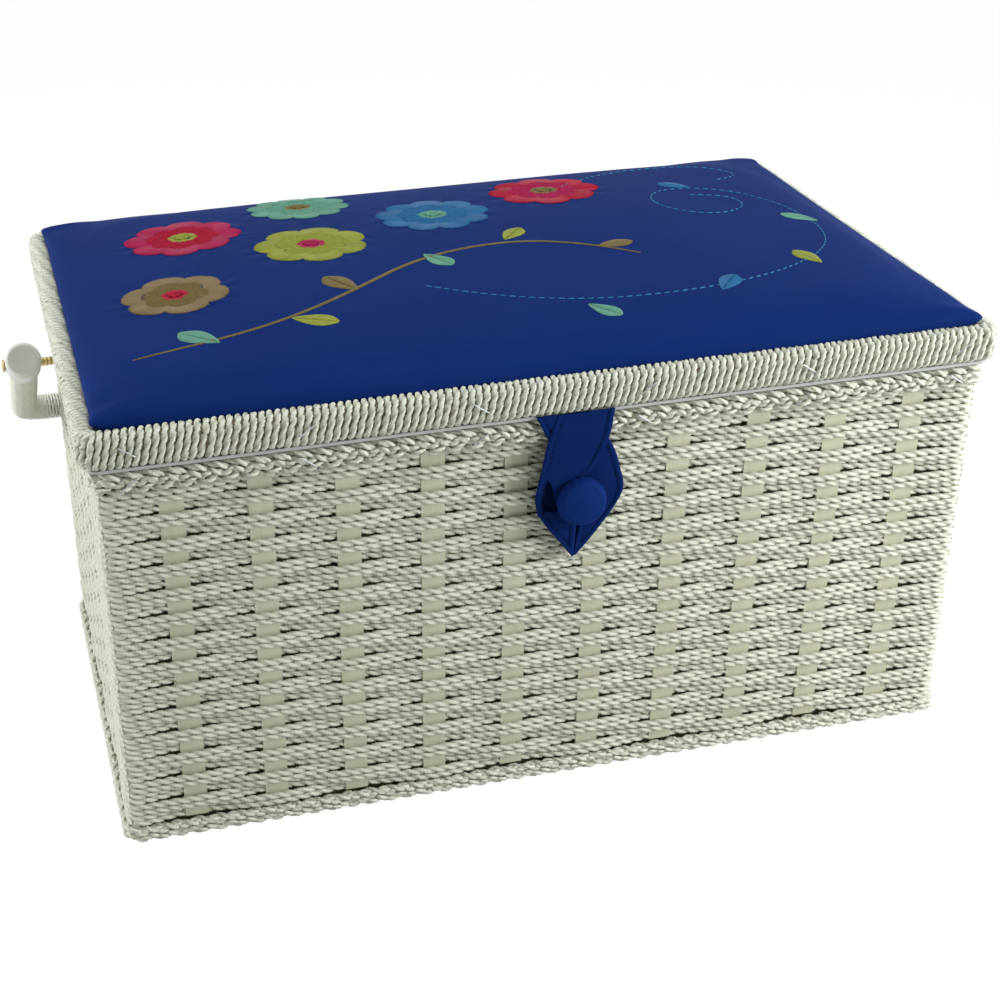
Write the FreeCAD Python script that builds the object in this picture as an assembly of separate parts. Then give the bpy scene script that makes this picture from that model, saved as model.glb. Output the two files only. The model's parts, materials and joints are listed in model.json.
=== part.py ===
import FreeCAD, Part
import math
import os
from FreeCAD import Vector

# Sewing box: a tapered wicker basket with a hinged padded lid, a folding
# carrying handle, a loop-and-button closure, a fabric lining and a lift-out tray.
# Millimetres. X runs along the width, the front is -Y, Z is up, and the origin
# is the middle of the underside.

os.makedirs("parts", exist_ok=True)

# Basket
body_height = 146.5
end_half_bottom = 151.6
end_draw_in = 0.6
side_half_bottom = 88.6
side_flare = 13.8
wall_corner = 4.5
weave_depth = 2.8
course_pitch = 4.65
course_groove = 0.5
stake_width = 8.0
stake_depth = 1.3
stake_pitch_long = 28.3
long_stake_count = 10
stake_pitch_end = 27.0
end_stake_count = 6
top_braid_height = 8.6
base_braid_height = 6.0
braid_proud = 1.8
braid_round = 1.7
base_board_depth = 3.5

# Lining
lining_depth = 2.2
ledge_width = 9.0
ledge_height = 6.0
ledge_length = 120.0

# Lift-out tray
tray_below_rim = 16.5
tray_height = 30.0
tray_wall = 1.6
tray_draft = 1.6
tray_gap = 3.2
tray_rim_width = 3.2
tray_rim_depth = 1.4
tray_corner = 7.0
tray_front_row = 46.0
tray_columns = 4
tray_divider_drop = 4.0
tray_notch_radius = 13.0
tray_notch_depth = 2.4

# Lid
lid_overhang = 2.8
lid_corner = 6.5
lid_lining_depth = 1.0
lid_lining_inset = 2.8
lid_lining_corner = 4.5
lid_seat_gap = 0.3
band_height = 12.8
band_width = 8.0
band_round = 3.0
core_width = 4.0
core_height = 8.8
lid_board_depth = 2.4
pad_inset = 3.4
pad_corner = 3.0
pad_shoulder = 6.2
pad_shoulder_run = 8.5
pad_crown = 5.3
pad_end_crown = 0.4
cover_depth = 0.9
pad_clear = 0.2

# Under the lid
cushion_length = 62.0
cushion_width = 46.0
cushion_depth = 9.5
cushion_corner = 6.0
cushion_draw = 1.8
cushion_side = 4.5
cushion_crown_run = 5.5
cushion_x = -88.0
cushion_y = 20.0
pocket_length = 150.0
pocket_height = 78.0
pocket_depth = 2.2
pocket_corner = 6.0
pocket_x = 50.0
pocket_y = 12.0

# Hinges on the back edge
hinge_pin_radius = 1.0
hinge_pin_play = 0.06
knuckle_radius = 1.9
knuckle_clear = 0.4
hinge_below_rim = 0.2
knuckle_length = 9.0
knuckle_gap = 0.3
leaf_depth = 1.0
leaf_height = 8.0
hinge_spacing = 190.0

# Closure
button_x = 6.0
button_below_rim = 30.5
button_radius = 8.5
button_rim = 2.4
button_depth = 4.8
button_face_radius = 5.6
button_stand_off = 4.6
shank_radius = 1.6
shank_fit = 0.05
shank_beyond_backing = 1.2
backing_radius = 6.0
backing_depth = 1.2
strap_depth = 1.6
strap_top_width = 26.0
strap_neck_width = 22.0
strap_neck_above_button = 18.0
strap_width = 30.0
strap_widest_below_button = 1.0
strap_point_width = 2.0
strap_point_below_button = 23.0
strap_bend_below_braid = 1.0
strap_slot_length = 19.0
strap_slot_width = 8.0
strap_gap = 0.3
strap_stand_off = 0.6

# Carrying handle
pivot_y = 10.0
pivot_below_rim = 4.5
handle_stand_off = 12.2
handle_lid_gap = 3.4
handle_bend = 9.0
handle_rest_gap = 0.3
core_radius = 3.9
core_bend_steps = 2
wrap_bend_steps = 5
wrap_radius = 5.25
cap_radius = 6.35
cap_chamfer = 0.7
cap_length = 14.0
cap_beyond_pivot = 8.0
cap_end_depth = 2.0
cap_fit = 0.05
screw_radius = 1.5
screw_play = 0.05
screw_head_radius = 3.2
screw_top_radius = 1.9
screw_head_rim = 0.9
screw_head_dome = 1.1
screw_head_gap = 0.3
washer_radius = 3.8
washer_depth = 0.9
nut_sides = 6
nut_across_flats = 5.5
nut_depth = 2.4
screw_beyond_nut = 0.5

# Staples in the braid and in the lid band
staple_length = 6.0
staple_wire = 0.5
staple_count = 6
staple_pitch = 56.0
staple_lean = 35.0

# Derived places
end_half_top = end_half_bottom - end_draw_in
side_half_top = side_half_bottom + side_flare
lean = side_flare / body_height
end_lean = -end_draw_in / body_height
weave_bottom = base_braid_height
weave_top = body_height - top_braid_height
stake_inset = weave_depth
lining_inset = weave_depth + stake_depth
inner_inset = lining_inset + lining_depth
floor_top = base_board_depth + lining_depth
braid_half_x = end_half_top + braid_proud
braid_half_y = side_half_top + braid_proud
far_x = max(end_half_top, end_half_bottom) + braid_proud
far_y = max(side_half_top, side_half_bottom) + braid_proud
lid_half_width = braid_half_x + lid_overhang
lid_half_depth = braid_half_y + lid_overhang
lid_lining_bottom = body_height + lid_seat_gap
band_bottom = lid_lining_bottom + lid_lining_depth
band_top = band_bottom + band_height
pad_bottom = band_top + pad_clear
hinge_axis_y = braid_half_y + knuckle_clear + knuckle_radius
hinge_axis_z = body_height - hinge_below_rim
tray_top = body_height - tray_below_rim
tray_floor_height = tray_top - tray_height
button_z = body_height - button_below_rim
strap_point_z = button_z - strap_point_below_button
pivot_z = body_height - pivot_below_rim
handle_half_width = braid_half_x + handle_stand_off
lid_edge_reach = math.hypot(lid_half_depth - pivot_y, band_top - pivot_z)
handle_reach = lid_edge_reach + handle_lid_gap + wrap_radius
nut_radius = nut_across_flats / 2.0 / math.cos(math.pi / nut_sides)


def side_half(z, inset=0.0):
    """Half the depth of the basket at a height, inset from the weave's crests."""
    return side_half_bottom + lean * z - inset


def end_half(z, inset=0.0):
    """Half the width of the basket at a height, inset from the weave's crests."""
    return end_half_bottom + end_lean * z - inset


def export(name, shape):
    shape.exportStep("parts/" + name + ".step")


def block(x0, x1, y0, y1, z0, z1):
    return Part.makeBox(x1 - x0, y1 - y0, z1 - z0, Vector(x0, y0, z0))


def rod(radius, start, end):
    """A round bar from one point to another."""
    run = end.sub(start)
    return Part.makeCylinder(radius, run.Length, start, run)


def rounded_outline(half_x, half_y, radius, z):
    """A closed rectangle with round corners, centred on Z."""
    x = half_x - radius
    y = half_y - radius
    cut = radius * math.sqrt(0.5)
    corners = [(x, y, 1, 1), (-x, y, -1, 1), (-x, -y, -1, -1), (x, -y, 1, -1)]
    edges = []
    last = None
    first = None
    for cx, cy, sx, sy in corners:
        on_x = Vector(cx + sx * radius, cy, z)
        on_y = Vector(cx, cy + sy * radius, z)
        middle = Vector(cx + sx * cut, cy + sy * cut, z)
        a, b = (on_x, on_y) if sx * sy > 0 else (on_y, on_x)
        if last is not None:
            edges.append(Part.LineSegment(last, a).toShape())
        else:
            first = a
        edges.append(Part.Arc(a, middle, b).toShape())
        last = b
    edges.append(Part.LineSegment(last, first).toShape())
    return Part.Wire(edges)


def rounded_slab(half_x, half_y, radius, z0, z1):
    face = Part.Face(rounded_outline(half_x, half_y, radius, z0))
    return face.extrude(Vector(0, 0, z1 - z0))


def soft_solid(sections):
    """A solid through level rounded outlines, each (half x, half y, radius, height)."""
    return Part.makeLoft([rounded_outline(*section) for section in sections], True, True)


def soft_slab(half_x, half_y, corner, z0, z1, edge):
    """A slab whose top and bottom edges are turned over by two flats."""
    sections = []
    for turn in (0, 45, 90):
        back = edge * (1 - math.sin(math.radians(turn)))
        rise = edge * (1 - math.cos(math.radians(turn)))
        sections.append((half_x - back, half_y - back, corner - back, z0 + rise))
    upper = [(x, y, r, z0 + z1 - z) for x, y, r, z in reversed(sections)]
    return soft_solid(sections + upper)


def chamfered_tub(z0, z1, inset, cut):
    """The tapered basket as one solid with its upright corners cut flat."""
    wires = []
    for z in (z0, z1):
        x = end_half(z, inset)
        y = side_half(z, inset)
        points = []
        for sx, sy in ((1, 1), (-1, 1), (-1, -1), (1, -1)):
            on_side = Vector(sx * (x - cut), sy * y, z)
            on_end = Vector(sx * x, sy * (y - cut), z)
            points += [on_end, on_side] if sx * sy > 0 else [on_side, on_end]
        wires.append(Part.makePolygon(points + points[:1]))
    return Part.makeLoft(wires, True, True)


def side_plate(z0, z1, outer, inner):
    """A leaning plate across the back, between two insets from the crests."""
    corners = [
        Vector(-far_x, side_half(z0, outer), z0),
        Vector(-far_x, side_half(z1, outer), z1),
        Vector(-far_x, side_half(z1, inner), z1),
        Vector(-far_x, side_half(z0, inner), z0),
    ]
    face = Part.Face(Part.makePolygon(corners + corners[:1]))
    return face.extrude(Vector(2 * far_x, 0, 0))


def end_plate(z0, z1, outer, inner):
    """An upright plate across the +X end, between two insets from the crests."""
    corners = [
        Vector(end_half(z0, outer), -far_y, z0),
        Vector(end_half(z1, outer), -far_y, z1),
        Vector(end_half(z1, inner), -far_y, z1),
        Vector(end_half(z0, inner), -far_y, z0),
    ]
    face = Part.Face(Part.makePolygon(corners + corners[:1]))
    return face.extrude(Vector(0, 2 * far_y, 0))


def opposite(shape):
    """The same piece on the other side of the basket, turned half a turn about Z."""
    turned = shape.copy()
    turned.rotate(Vector(0, 0, 0), Vector(0, 0, 1), 180)
    return turned


def mirrored_x(shape):
    return shape.mirror(Vector(0, 0, 0), Vector(1, 0, 0))


def course_heights():
    """Heights of the grooves between the rope courses."""
    count = int(round((weave_top - weave_bottom) / course_pitch))
    step = (weave_top - weave_bottom) / count
    return [weave_bottom + step * i for i in range(count + 1)]


def course_profile(point, inner_point):
    """The outline of a woven wall: a low ridge for each course, flat inside."""
    heights = course_heights()
    outline = [inner_point(heights[-1]), inner_point(heights[0]), point(heights[0], course_groove)]
    for low, high in zip(heights[:-1], heights[1:]):
        outline.append(point((low + high) / 2.0, 0.0))
        outline.append(point(high, course_groove))
    return Part.Face(Part.makePolygon(outline + outline[:1]))


def woven_back():
    """The back wall's outer rope courses, cut off at the basket's corners."""
    def outer(z, groove):
        return Vector(-far_x, side_half(z, groove), z)

    def inner(z):
        return Vector(-far_x, side_half(z, weave_depth), z)

    courses = course_profile(outer, inner).extrude(Vector(2 * far_x, 0, 0))
    return courses.common(chamfered_tub(weave_bottom, weave_top, 0.0, wall_corner))


def woven_end():
    """The +X end wall's outer rope courses, between the front and back walls."""
    def outer(z, groove):
        return Vector(end_half(z, groove), -far_y, z)

    def inner(z):
        return Vector(end_half(z, weave_depth), -far_y, z)

    courses = course_profile(outer, inner).extrude(Vector(0, 2 * far_y, 0))
    between = courses.common(between_sides(weave_bottom, weave_top, weave_depth))
    return between.common(chamfered_tub(weave_bottom, weave_top, 0.0, wall_corner))


def between_sides(z0, z1, inset):
    """A tapered block between the front and back walls at an inset."""
    low = side_half(z0, inset)
    high = side_half(z1, inset)
    corners = [
        Vector(-far_x, -low, z0),
        Vector(-far_x, low, z0),
        Vector(-far_x, high, z1),
        Vector(-far_x, -high, z1),
    ]
    face = Part.Face(Part.makePolygon(corners + corners[:1]))
    return face.extrude(Vector(2 * far_x, 0, 0))


def between_ends(z0, z1, inset):
    """A tapered block between the two end walls at an inset."""
    low = end_half(z0, inset)
    high = end_half(z1, inset)
    corners = [
        Vector(-low, -far_y, z0),
        Vector(low, -far_y, z0),
        Vector(high, -far_y, z1),
        Vector(-high, -far_y, z1),
    ]
    face = Part.Face(Part.makePolygon(corners + corners[:1]))
    return face.extrude(Vector(0, 2 * far_y, 0))


def row(count, pitch):
    """Places of a centred row."""
    return [(i - (count - 1) / 2.0) * pitch for i in range(count)]


def back_stakes():
    """Flat upright stakes that the rope is woven around, on the back wall."""
    plate = side_plate(weave_bottom, weave_top, stake_inset, stake_inset + stake_depth)
    half = stake_width / 2.0
    stakes = []
    for x in row(long_stake_count, stake_pitch_long):
        stakes.append(plate.common(block(x - half, x + half, 0, far_y, weave_bottom, weave_top)))
    return Part.makeCompound(stakes)


def end_stakes():
    """Flat upright stakes of the +X end wall."""
    plate = end_plate(weave_bottom, weave_top, stake_inset, stake_inset + stake_depth)
    half = stake_width / 2.0
    stakes = []
    for y in row(end_stake_count, stake_pitch_end):
        stakes.append(plate.common(block(0, far_x, y - half, y + half, weave_bottom, weave_top)))
    return Part.makeCompound(stakes)


def braid(z0, z1, at_z):
    """A plaited border: a soft-edged ring that stands proud of the weave."""
    outer_x = end_half(at_z, -braid_proud)
    outer_y = side_half(at_z, -braid_proud)
    full = soft_slab(outer_x, outer_y, wall_corner + braid_proud, z0, z1, braid_round)
    return full.cut(between_sides(z0, z1, lining_inset).common(between_ends(z0, z1, lining_inset)))


def top_braid():
    return braid(weave_top, body_height, body_height)


def base_braid():
    return braid(0.0, base_braid_height, 0.0)


def base_board():
    """A flat board inside the base braid that the stakes stand round."""
    across = between_sides(0.0, base_board_depth, lining_inset)
    return across.common(between_ends(0.0, base_board_depth, lining_inset))


def pivot_hole():
    """The hole for the handle's screws, on one line right across the basket."""
    reach = handle_half_width + 2 * cap_radius
    return rod(screw_radius + screw_play, Vector(-reach, pivot_y, pivot_z), Vector(reach, pivot_y, pivot_z))


def shank_hole():
    """The hole for the button's shank through the front wall."""
    start = Vector(button_x, button_back_y(), button_z)
    return rod(shank_radius + shank_fit, start, Vector(button_x, 0, button_z))


def lining_back():
    """A fabric-covered card against the back wall, between the end cards."""
    plate = side_plate(base_board_depth, body_height, lining_inset, inner_inset)
    return plate.common(between_ends(base_board_depth, body_height, lining_inset))


def lining_end():
    """A fabric-covered card against the +X end wall."""
    plate = end_plate(base_board_depth, body_height, lining_inset, inner_inset)
    return plate.common(between_sides(base_board_depth, body_height, inner_inset))


def lining_floor():
    """A fabric-covered card on the base board, inside the wall cards."""
    across = between_sides(base_board_depth, floor_top, inner_inset)
    return across.common(between_ends(base_board_depth, floor_top, inner_inset))


def tray_ledge():
    """A covered strip on the +X end card that carries the tray."""
    z0 = tray_floor_height - ledge_height
    plate = end_plate(z0, tray_floor_height, inner_inset, inner_inset + ledge_width)
    half = ledge_length / 2.0
    return plate.common(block(0, far_x, -half, half, z0, tray_floor_height))


def tray_shell(grow):
    """The tray's tapered outside, or its inside with grow set to minus the wall."""
    low_x = end_half(tray_floor_height, inner_inset + tray_gap + tray_rim_width) - tray_draft + grow
    low_y = side_half(tray_floor_height, inner_inset + tray_gap + tray_rim_width) - tray_draft + grow
    z0 = tray_floor_height - min(grow, 0.0)
    low = rounded_outline(low_x, low_y, tray_corner + grow, z0)
    high = rounded_outline(low_x + tray_draft, low_y + tray_draft, tray_corner + grow, tray_top)
    return Part.makeLoft([low, high], True, True)


def tray():
    """A moulded tray: tapered shell, turned-out rim, dividers and thumb notches."""
    inside = tray_shell(-tray_wall)
    shell = tray_shell(0.0)
    box = shell.BoundBox
    half_x = box.XMax
    half_y = box.YMax
    rim = rounded_slab(half_x + tray_rim_width, half_y + tray_rim_width,
                       tray_corner + tray_rim_width, tray_top - tray_rim_depth, tray_top)
    body = shell.fuse(rim).cut(inside)
    divider_top = tray_top - tray_divider_drop
    half_wall = tray_wall / 2.0
    row_y = -half_y + tray_front_row
    dividers = [block(-half_x, half_x, row_y - half_wall, row_y + half_wall, tray_floor_height, divider_top)]
    step = 2 * half_x / tray_columns
    for i in range(1, tray_columns):
        x = -half_x + step * i
        dividers.append(block(x - half_wall, x + half_wall, row_y, half_y, tray_floor_height, divider_top))
    walls = dividers[0]
    for divider in dividers[1:]:
        walls = walls.fuse(divider)
    body = body.fuse(walls.common(shell)).removeSplitter()
    notch_x = half_x + tray_rim_width - tray_notch_depth + tray_notch_radius
    rim_bottom = tray_top - tray_rim_depth
    notch = rod(tray_notch_radius, Vector(notch_x, 0, rim_bottom), Vector(notch_x, 0, tray_top))
    return body.cut(notch).cut(mirrored_x(notch))


def lid_band():
    """The rope-wound edge of the lid: a soft-edged ring round a wooden core."""
    full = soft_slab(lid_half_width, lid_half_depth, lid_corner, band_bottom, band_top, band_round)
    half_x = lid_half_width - band_width
    half_y = lid_half_depth - band_width
    full = full.cut(block(-half_x, half_x, -half_y, half_y, band_bottom, band_top))
    return full.cut(lid_core())


def lid_core():
    """Four glued wooden strips inside the rope winding, as one frame with cut corners."""
    outer_inset = (band_width - core_width) / 2.0
    z0 = band_bottom + (band_height - core_height) / 2.0
    half_x = lid_half_width - outer_inset
    half_y = lid_half_depth - outer_inset
    cut = lid_corner - outer_inset
    points = []
    for sx, sy in ((1, 1), (-1, 1), (-1, -1), (1, -1)):
        on_side = Vector(sx * (half_x - cut), sy * half_y, z0)
        on_end = Vector(sx * half_x, sy * (half_y - cut), z0)
        points += [on_end, on_side] if sx * sy > 0 else [on_side, on_end]
    full = Part.Face(Part.makePolygon(points + points[:1])).extrude(Vector(0, 0, core_height))
    half_x -= core_width
    half_y -= core_width
    return full.cut(block(-half_x, half_x, -half_y, half_y, z0, z0 + core_height))


def lid_board():
    """The card that fills the frame and carries the padding."""
    half_x = lid_half_width - band_width
    half_y = lid_half_depth - band_width
    return block(-half_x, half_x, -half_y, half_y, band_bottom, band_bottom + lid_board_depth)


def pad_dome(skin):
    """The padded top above the band, less a skin: round shoulders and a low crown."""
    half_x = lid_half_width - pad_inset - skin
    half_y = lid_half_depth - pad_inset - skin
    bottom = pad_bottom + skin
    rise = pad_shoulder - 2 * skin
    outlines = []
    for turn in (0, 45, 90):
        angle = math.radians(turn)
        run = pad_shoulder_run * (1 - math.cos(angle))
        outlines.append((half_x - run, half_y - run, pad_corner - skin, bottom + rise * math.sin(angle)))
    crown = pad_crown_loft(half_x - pad_shoulder_run, half_y - pad_shoulder_run, bottom + rise)
    return soft_solid(outlines).fuse(crown).removeSplitter()


def pad_crown_loft(half_x, half_y, z):
    """The low crown: flat-bottomed arches that rise from both ends to the middle."""
    arches = []
    for share, rise in ((-1.0, pad_end_crown), (-0.5, pad_crown), (0.5, pad_crown), (1.0, pad_end_crown)):
        x = half_x * share
        arch = Part.Arc(Vector(x, -half_y, z), Vector(x, 0, z + rise), Vector(x, half_y, z)).toShape()
        chord = Part.LineSegment(Vector(x, half_y, z), Vector(x, -half_y, z)).toShape()
        arches.append(Part.Wire([arch, chord]))
    return Part.makeLoft(arches, True, True)


def pad_root(skin):
    """The part of the padding that stands on the board, inside the band."""
    half_x = lid_half_width - band_width - skin
    half_y = lid_half_depth - band_width - skin
    return block(-half_x, half_x, -half_y, half_y, band_bottom + lid_board_depth, pad_bottom + skin)


def padding():
    """The foam under the satin, with the pad's crown."""
    return pad_dome(cover_depth).fuse(pad_root(cover_depth)).removeSplitter()


def satin_cover():
    """The satin stretched over the foam and tucked in beside the band."""
    full = pad_dome(0.0).fuse(pad_root(0.0))
    return full.cut(padding()).removeSplitter()


def lid_lining():
    """The covered card under the lid, whose pale edge shows below the band."""
    half_x = lid_half_width - lid_lining_inset
    half_y = lid_half_depth - lid_lining_inset
    return rounded_slab(half_x, half_y, lid_lining_corner, lid_lining_bottom, band_bottom)


def pin_cushion():
    """A stuffed cushion under the lid: flat on the card, crowned, its sides drawn in."""
    half_x = cushion_length / 2.0
    half_y = cushion_width / 2.0
    sections = []
    for run, drop in ((cushion_draw, 0.0), (0.0, cushion_side), (cushion_crown_run, cushion_depth)):
        sections.append((half_x - run, half_y - run, cushion_corner - run, lid_lining_bottom - drop))
    cushion = soft_solid(sections)
    cushion.translate(Vector(cushion_x, cushion_y, 0))
    return cushion


def lid_pocket():
    """A flat gathered pocket sewn on the card under the lid."""
    top = lid_lining_bottom
    pocket = rounded_slab(pocket_length / 2.0, pocket_height / 2.0, pocket_corner, top - pocket_depth, top)
    pocket.translate(Vector(pocket_x, pocket_y, 0))
    return pocket


def hinge_bar(radius, x0, x1):
    """A round bar on the hinge line."""
    return rod(radius, Vector(x0, hinge_axis_y, hinge_axis_z), Vector(x1, hinge_axis_y, hinge_axis_z))


def hinge_leaf(x0, x1, low, high, face_y):
    """A brass leaf against a face, with its knuckle rolled round the pin."""
    plate = block(x0, x1, face_y, face_y + leaf_depth, low, high)
    rolled = plate.fuse(hinge_bar(knuckle_radius, x0, x1))
    return rolled.cut(hinge_bar(hinge_pin_radius + hinge_pin_play, x0, x1)).removeSplitter()


def hinge_leaves_body():
    """The leaf of each hinge that is fixed to the top braid."""
    leaves = []
    for x in row(2, hinge_spacing):
        x0 = x + knuckle_gap / 2.0
        low = hinge_axis_z - leaf_height
        leaves.append(hinge_leaf(x0, x0 + knuckle_length, low, hinge_axis_z, braid_half_y))
    return Part.makeCompound(leaves)


def hinge_leaves_lid():
    """The leaf of each hinge that is fixed to the lid's band."""
    leaves = []
    for x in row(2, hinge_spacing):
        x1 = x - knuckle_gap / 2.0
        high = hinge_axis_z + leaf_height
        leaves.append(hinge_leaf(x1 - knuckle_length, x1, hinge_axis_z, high, lid_half_depth))
    return Part.makeCompound(leaves)


def hinge_pins():
    """A steel pin through the two knuckles of each hinge, a little past their ends."""
    reach = knuckle_length + knuckle_gap
    pins = [hinge_bar(hinge_pin_radius, x - reach, x + reach) for x in row(2, hinge_spacing)]
    return Part.makeCompound(pins)


def button_back_y():
    """The back of the button's rim, in front of the weave."""
    return -side_half(button_z) - button_stand_off


def button_cap():
    """A fabric-covered metal shell: a short rim and a face with sloping edges."""
    back = button_back_y()
    outline = [
        Vector(button_x, back, button_z),
        Vector(button_x + button_radius, back, button_z),
        Vector(button_x + button_radius, back - button_rim, button_z),
        Vector(button_x + button_face_radius, back - button_depth, button_z),
        Vector(button_x, back - button_depth, button_z),
    ]
    face = Part.Face(Part.makePolygon(outline + outline[:1]))
    return face.revolve(Vector(button_x, 0, button_z), Vector(0, 1, 0), 360)


def lining_face_y():
    """The inner face of the front lining at the button's height."""
    return -side_half(button_z, inner_inset)


def backing_y():
    """The outer face of the button's backing, which the leaning lining just clears."""
    return lining_face_y() + lean * backing_radius


def button_shank():
    """A post from the button's back through the wall to its backing."""
    start = Vector(button_x, button_back_y(), button_z)
    end = Vector(button_x, backing_y() + backing_depth + shank_beyond_backing, button_z)
    return rod(shank_radius, start, end)


def button_backing():
    """A washer on the inside that the shank is fastened to."""
    start = Vector(button_x, backing_y(), button_z)
    end = Vector(button_x, backing_y() + backing_depth, button_z)
    return rod(backing_radius, start, end).cut(shank_hole())


def closure_strap():
    """A doubled satin strap that ends in a point, with a slot for the button."""
    back_top = braid_half_y + strap_gap
    back_low = side_half(strap_point_z) + strap_stand_off
    bend_z = weave_top - strap_bend_below_braid
    top = band_bottom - strap_gap
    profile = [
        Vector(0, -back_top, bend_z),
        Vector(0, -back_top, top),
        Vector(0, -back_top - strap_depth, top),
        Vector(0, -back_top - strap_depth, bend_z),
        Vector(0, -back_low - strap_depth, strap_point_z),
        Vector(0, -back_low, strap_point_z),
    ]
    side = Part.Face(Part.makePolygon(profile + profile[:1]))
    side.translate(Vector(button_x - strap_width, 0, 0))
    sheet = side.extrude(Vector(2 * strap_width, 0, 0))
    neck_z = button_z + strap_neck_above_button
    widest_z = button_z - strap_widest_below_button
    halves = [
        (strap_top_width / 2.0, top),
        (strap_neck_width / 2.0, neck_z),
        (strap_width / 2.0, widest_z),
        (strap_point_width / 2.0, strap_point_z),
    ]
    right = [Vector(button_x + half, 0, z) for half, z in halves]
    left = [Vector(button_x - half, 0, z) for half, z in reversed(halves)]
    face = Part.Face(Part.makePolygon(right + left + right[:1]))
    cutter = face.extrude(Vector(0, -2 * braid_half_y, 0))
    return sheet.common(cutter).cut(strap_slot())


def strap_slot():
    """The round-ended slot that the button passes through."""
    half = strap_slot_width / 2.0
    straight = strap_slot_length / 2.0 - half
    low = button_z - straight
    high = button_z + straight
    slot = block(button_x - half, button_x + half, -2 * braid_half_y, 0, low, high)
    for z in (low, high):
        end = rod(half, Vector(button_x, -2 * braid_half_y, z), Vector(button_x, 0, z))
        slot = slot.fuse(end)
    return slot


def handle_angle():
    """How far below level the arms lie when the bar rests on the back wall."""
    clear = (wrap_radius + handle_rest_gap) * math.sqrt(1 + lean ** 2)
    need = side_half(pivot_z) + clear - pivot_y
    return math.atan(lean) + math.acos(need / (handle_reach * math.sqrt(1 + lean ** 2)))


def arm_direction():
    angle = handle_angle()
    return Vector(0, math.cos(angle), -math.sin(angle))


def pivot():
    """Where the +X arm turns."""
    return Vector(handle_half_width, pivot_y, pivot_z)


def bar_section(point, along, radius):
    """A circle across the bar, started in the handle's own plane."""
    circle = Part.Circle(point, along, radius)
    circle.XAxis = Vector(1, 0, 0).cross(arm_direction())
    return Part.Wire([circle.toShape()])


def bent_bar(radius, start_offset, steps):
    """A round bar down one arm, along the back and up the other, each bend in equal steps."""
    arm = arm_direction()
    sideways = Vector(1, 0, 0)
    centre = pivot().add(arm * (handle_reach - handle_bend)).sub(sideways * handle_bend)
    places = [(pivot().add(arm * start_offset), arm)]
    for i in range(steps + 1):
        turn = math.pi / 2 * i / steps
        outward = sideways * math.cos(turn) + arm * math.sin(turn)
        onward = arm * math.cos(turn) - sideways * math.sin(turn)
        places.append((centre.add(outward * handle_bend), onward))
    for point, onward in places[::-1]:
        places.append((Vector(-point.x, point.y, point.z), Vector(onward.x, -onward.y, -onward.z)))
    return Part.makeLoft([bar_section(point, onward, radius) for point, onward in places], True, True)


def core_start():
    """Where the core ends inside the cap, from the pivot."""
    return cap_end_depth + cap_fit - cap_beyond_pivot


def core_bar(start_offset):
    return bent_bar(core_radius, start_offset, core_bend_steps)


def wrap_start():
    """Where the winding begins, against the cap."""
    return cap_length - cap_beyond_pivot + cap_fit


def handle_core():
    """The cane that gives the handle its shape, from cap to cap."""
    return core_bar(core_start()).cut(pivot_hole())


def handle_wrap():
    """The cord winding round the cane, from one cap to the other."""
    return bent_bar(wrap_radius, wrap_start(), wrap_bend_steps).cut(core_bar(wrap_start()))


def handle_cap():
    """The white plastic cap over the +X end of the handle."""
    along = arm_direction()
    outer_end = pivot().add(along * -cap_beyond_pivot)
    chamfer = Part.makeCone(cap_radius - cap_chamfer, cap_radius, cap_chamfer, outer_end, along)
    barrel_start = outer_end.add(along * cap_chamfer)
    barrel = Part.makeCylinder(cap_radius, cap_length - cap_chamfer, barrel_start, along)
    core_end = pivot().add(along * (core_start() - cap_fit))
    bore = Part.makeCylinder(core_radius + cap_fit, cap_length, core_end, along)
    return chamfer.fuse(barrel).removeSplitter().cut(bore).cut(pivot_hole())


def nut_face_x():
    """The outer face of the nut, which the leaning lining just clears."""
    return end_half(pivot_z, inner_inset) - abs(end_lean) * nut_radius


def handle_screw():
    """A brass screw with a sloping head, through the handle's end and the basket's wall."""
    inner_end = nut_face_x() - nut_depth - screw_beyond_nut
    head_x = handle_half_width + cap_radius + screw_head_gap
    shank = rod(screw_radius, Vector(inner_end, pivot_y, pivot_z), Vector(head_x, pivot_y, pivot_z))
    dome_x = head_x + screw_head_rim
    head = rod(screw_head_radius, Vector(head_x, pivot_y, pivot_z), Vector(dome_x, pivot_y, pivot_z))
    dome = Part.makeCone(screw_head_radius, screw_top_radius, screw_head_dome,
                         Vector(dome_x, pivot_y, pivot_z), Vector(1, 0, 0))
    return shank.fuse(head).fuse(dome).removeSplitter()


def wall_washer():
    """A washer between the braid and the handle's screw."""
    start = Vector(braid_half_x, pivot_y, pivot_z)
    ring = rod(washer_radius, start, start.add(Vector(washer_depth, 0, 0)))
    return ring.cut(pivot_hole())


def handle_nut():
    """A hexagonal nut on the inner end of the screw."""
    inner_x = nut_face_x() - nut_depth
    corners = []
    for i in range(nut_sides + 1):
        angle = 2 * math.pi * (i + 0.5) / nut_sides
        corners.append(Vector(inner_x, pivot_y + nut_radius * math.cos(angle),
                              pivot_z + nut_radius * math.sin(angle)))
    prism = Part.Face(Part.makePolygon(corners)).extrude(Vector(nut_depth, 0, 0))
    return prism.cut(pivot_hole())


def both_ends(shape):
    return Part.makeCompound([shape, mirrored_x(shape)])


def staples(face_y, z, sign):
    """A row of wire staples flat on the front face, each turned a little."""
    half = staple_length / 2.0
    wire = staple_wire / 2.0
    group = []
    for i, x in enumerate(row(staple_count, staple_pitch)):
        crown = block(-half, half, -staple_wire, 0, -wire, wire)
        crown.rotate(Vector(0, 0, 0), Vector(0, 1, 0), sign * staple_lean * (1 if i % 2 else -1))
        crown.translate(Vector(x, face_y, z))
        group.append(crown)
    return Part.makeCompound(group)


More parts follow.
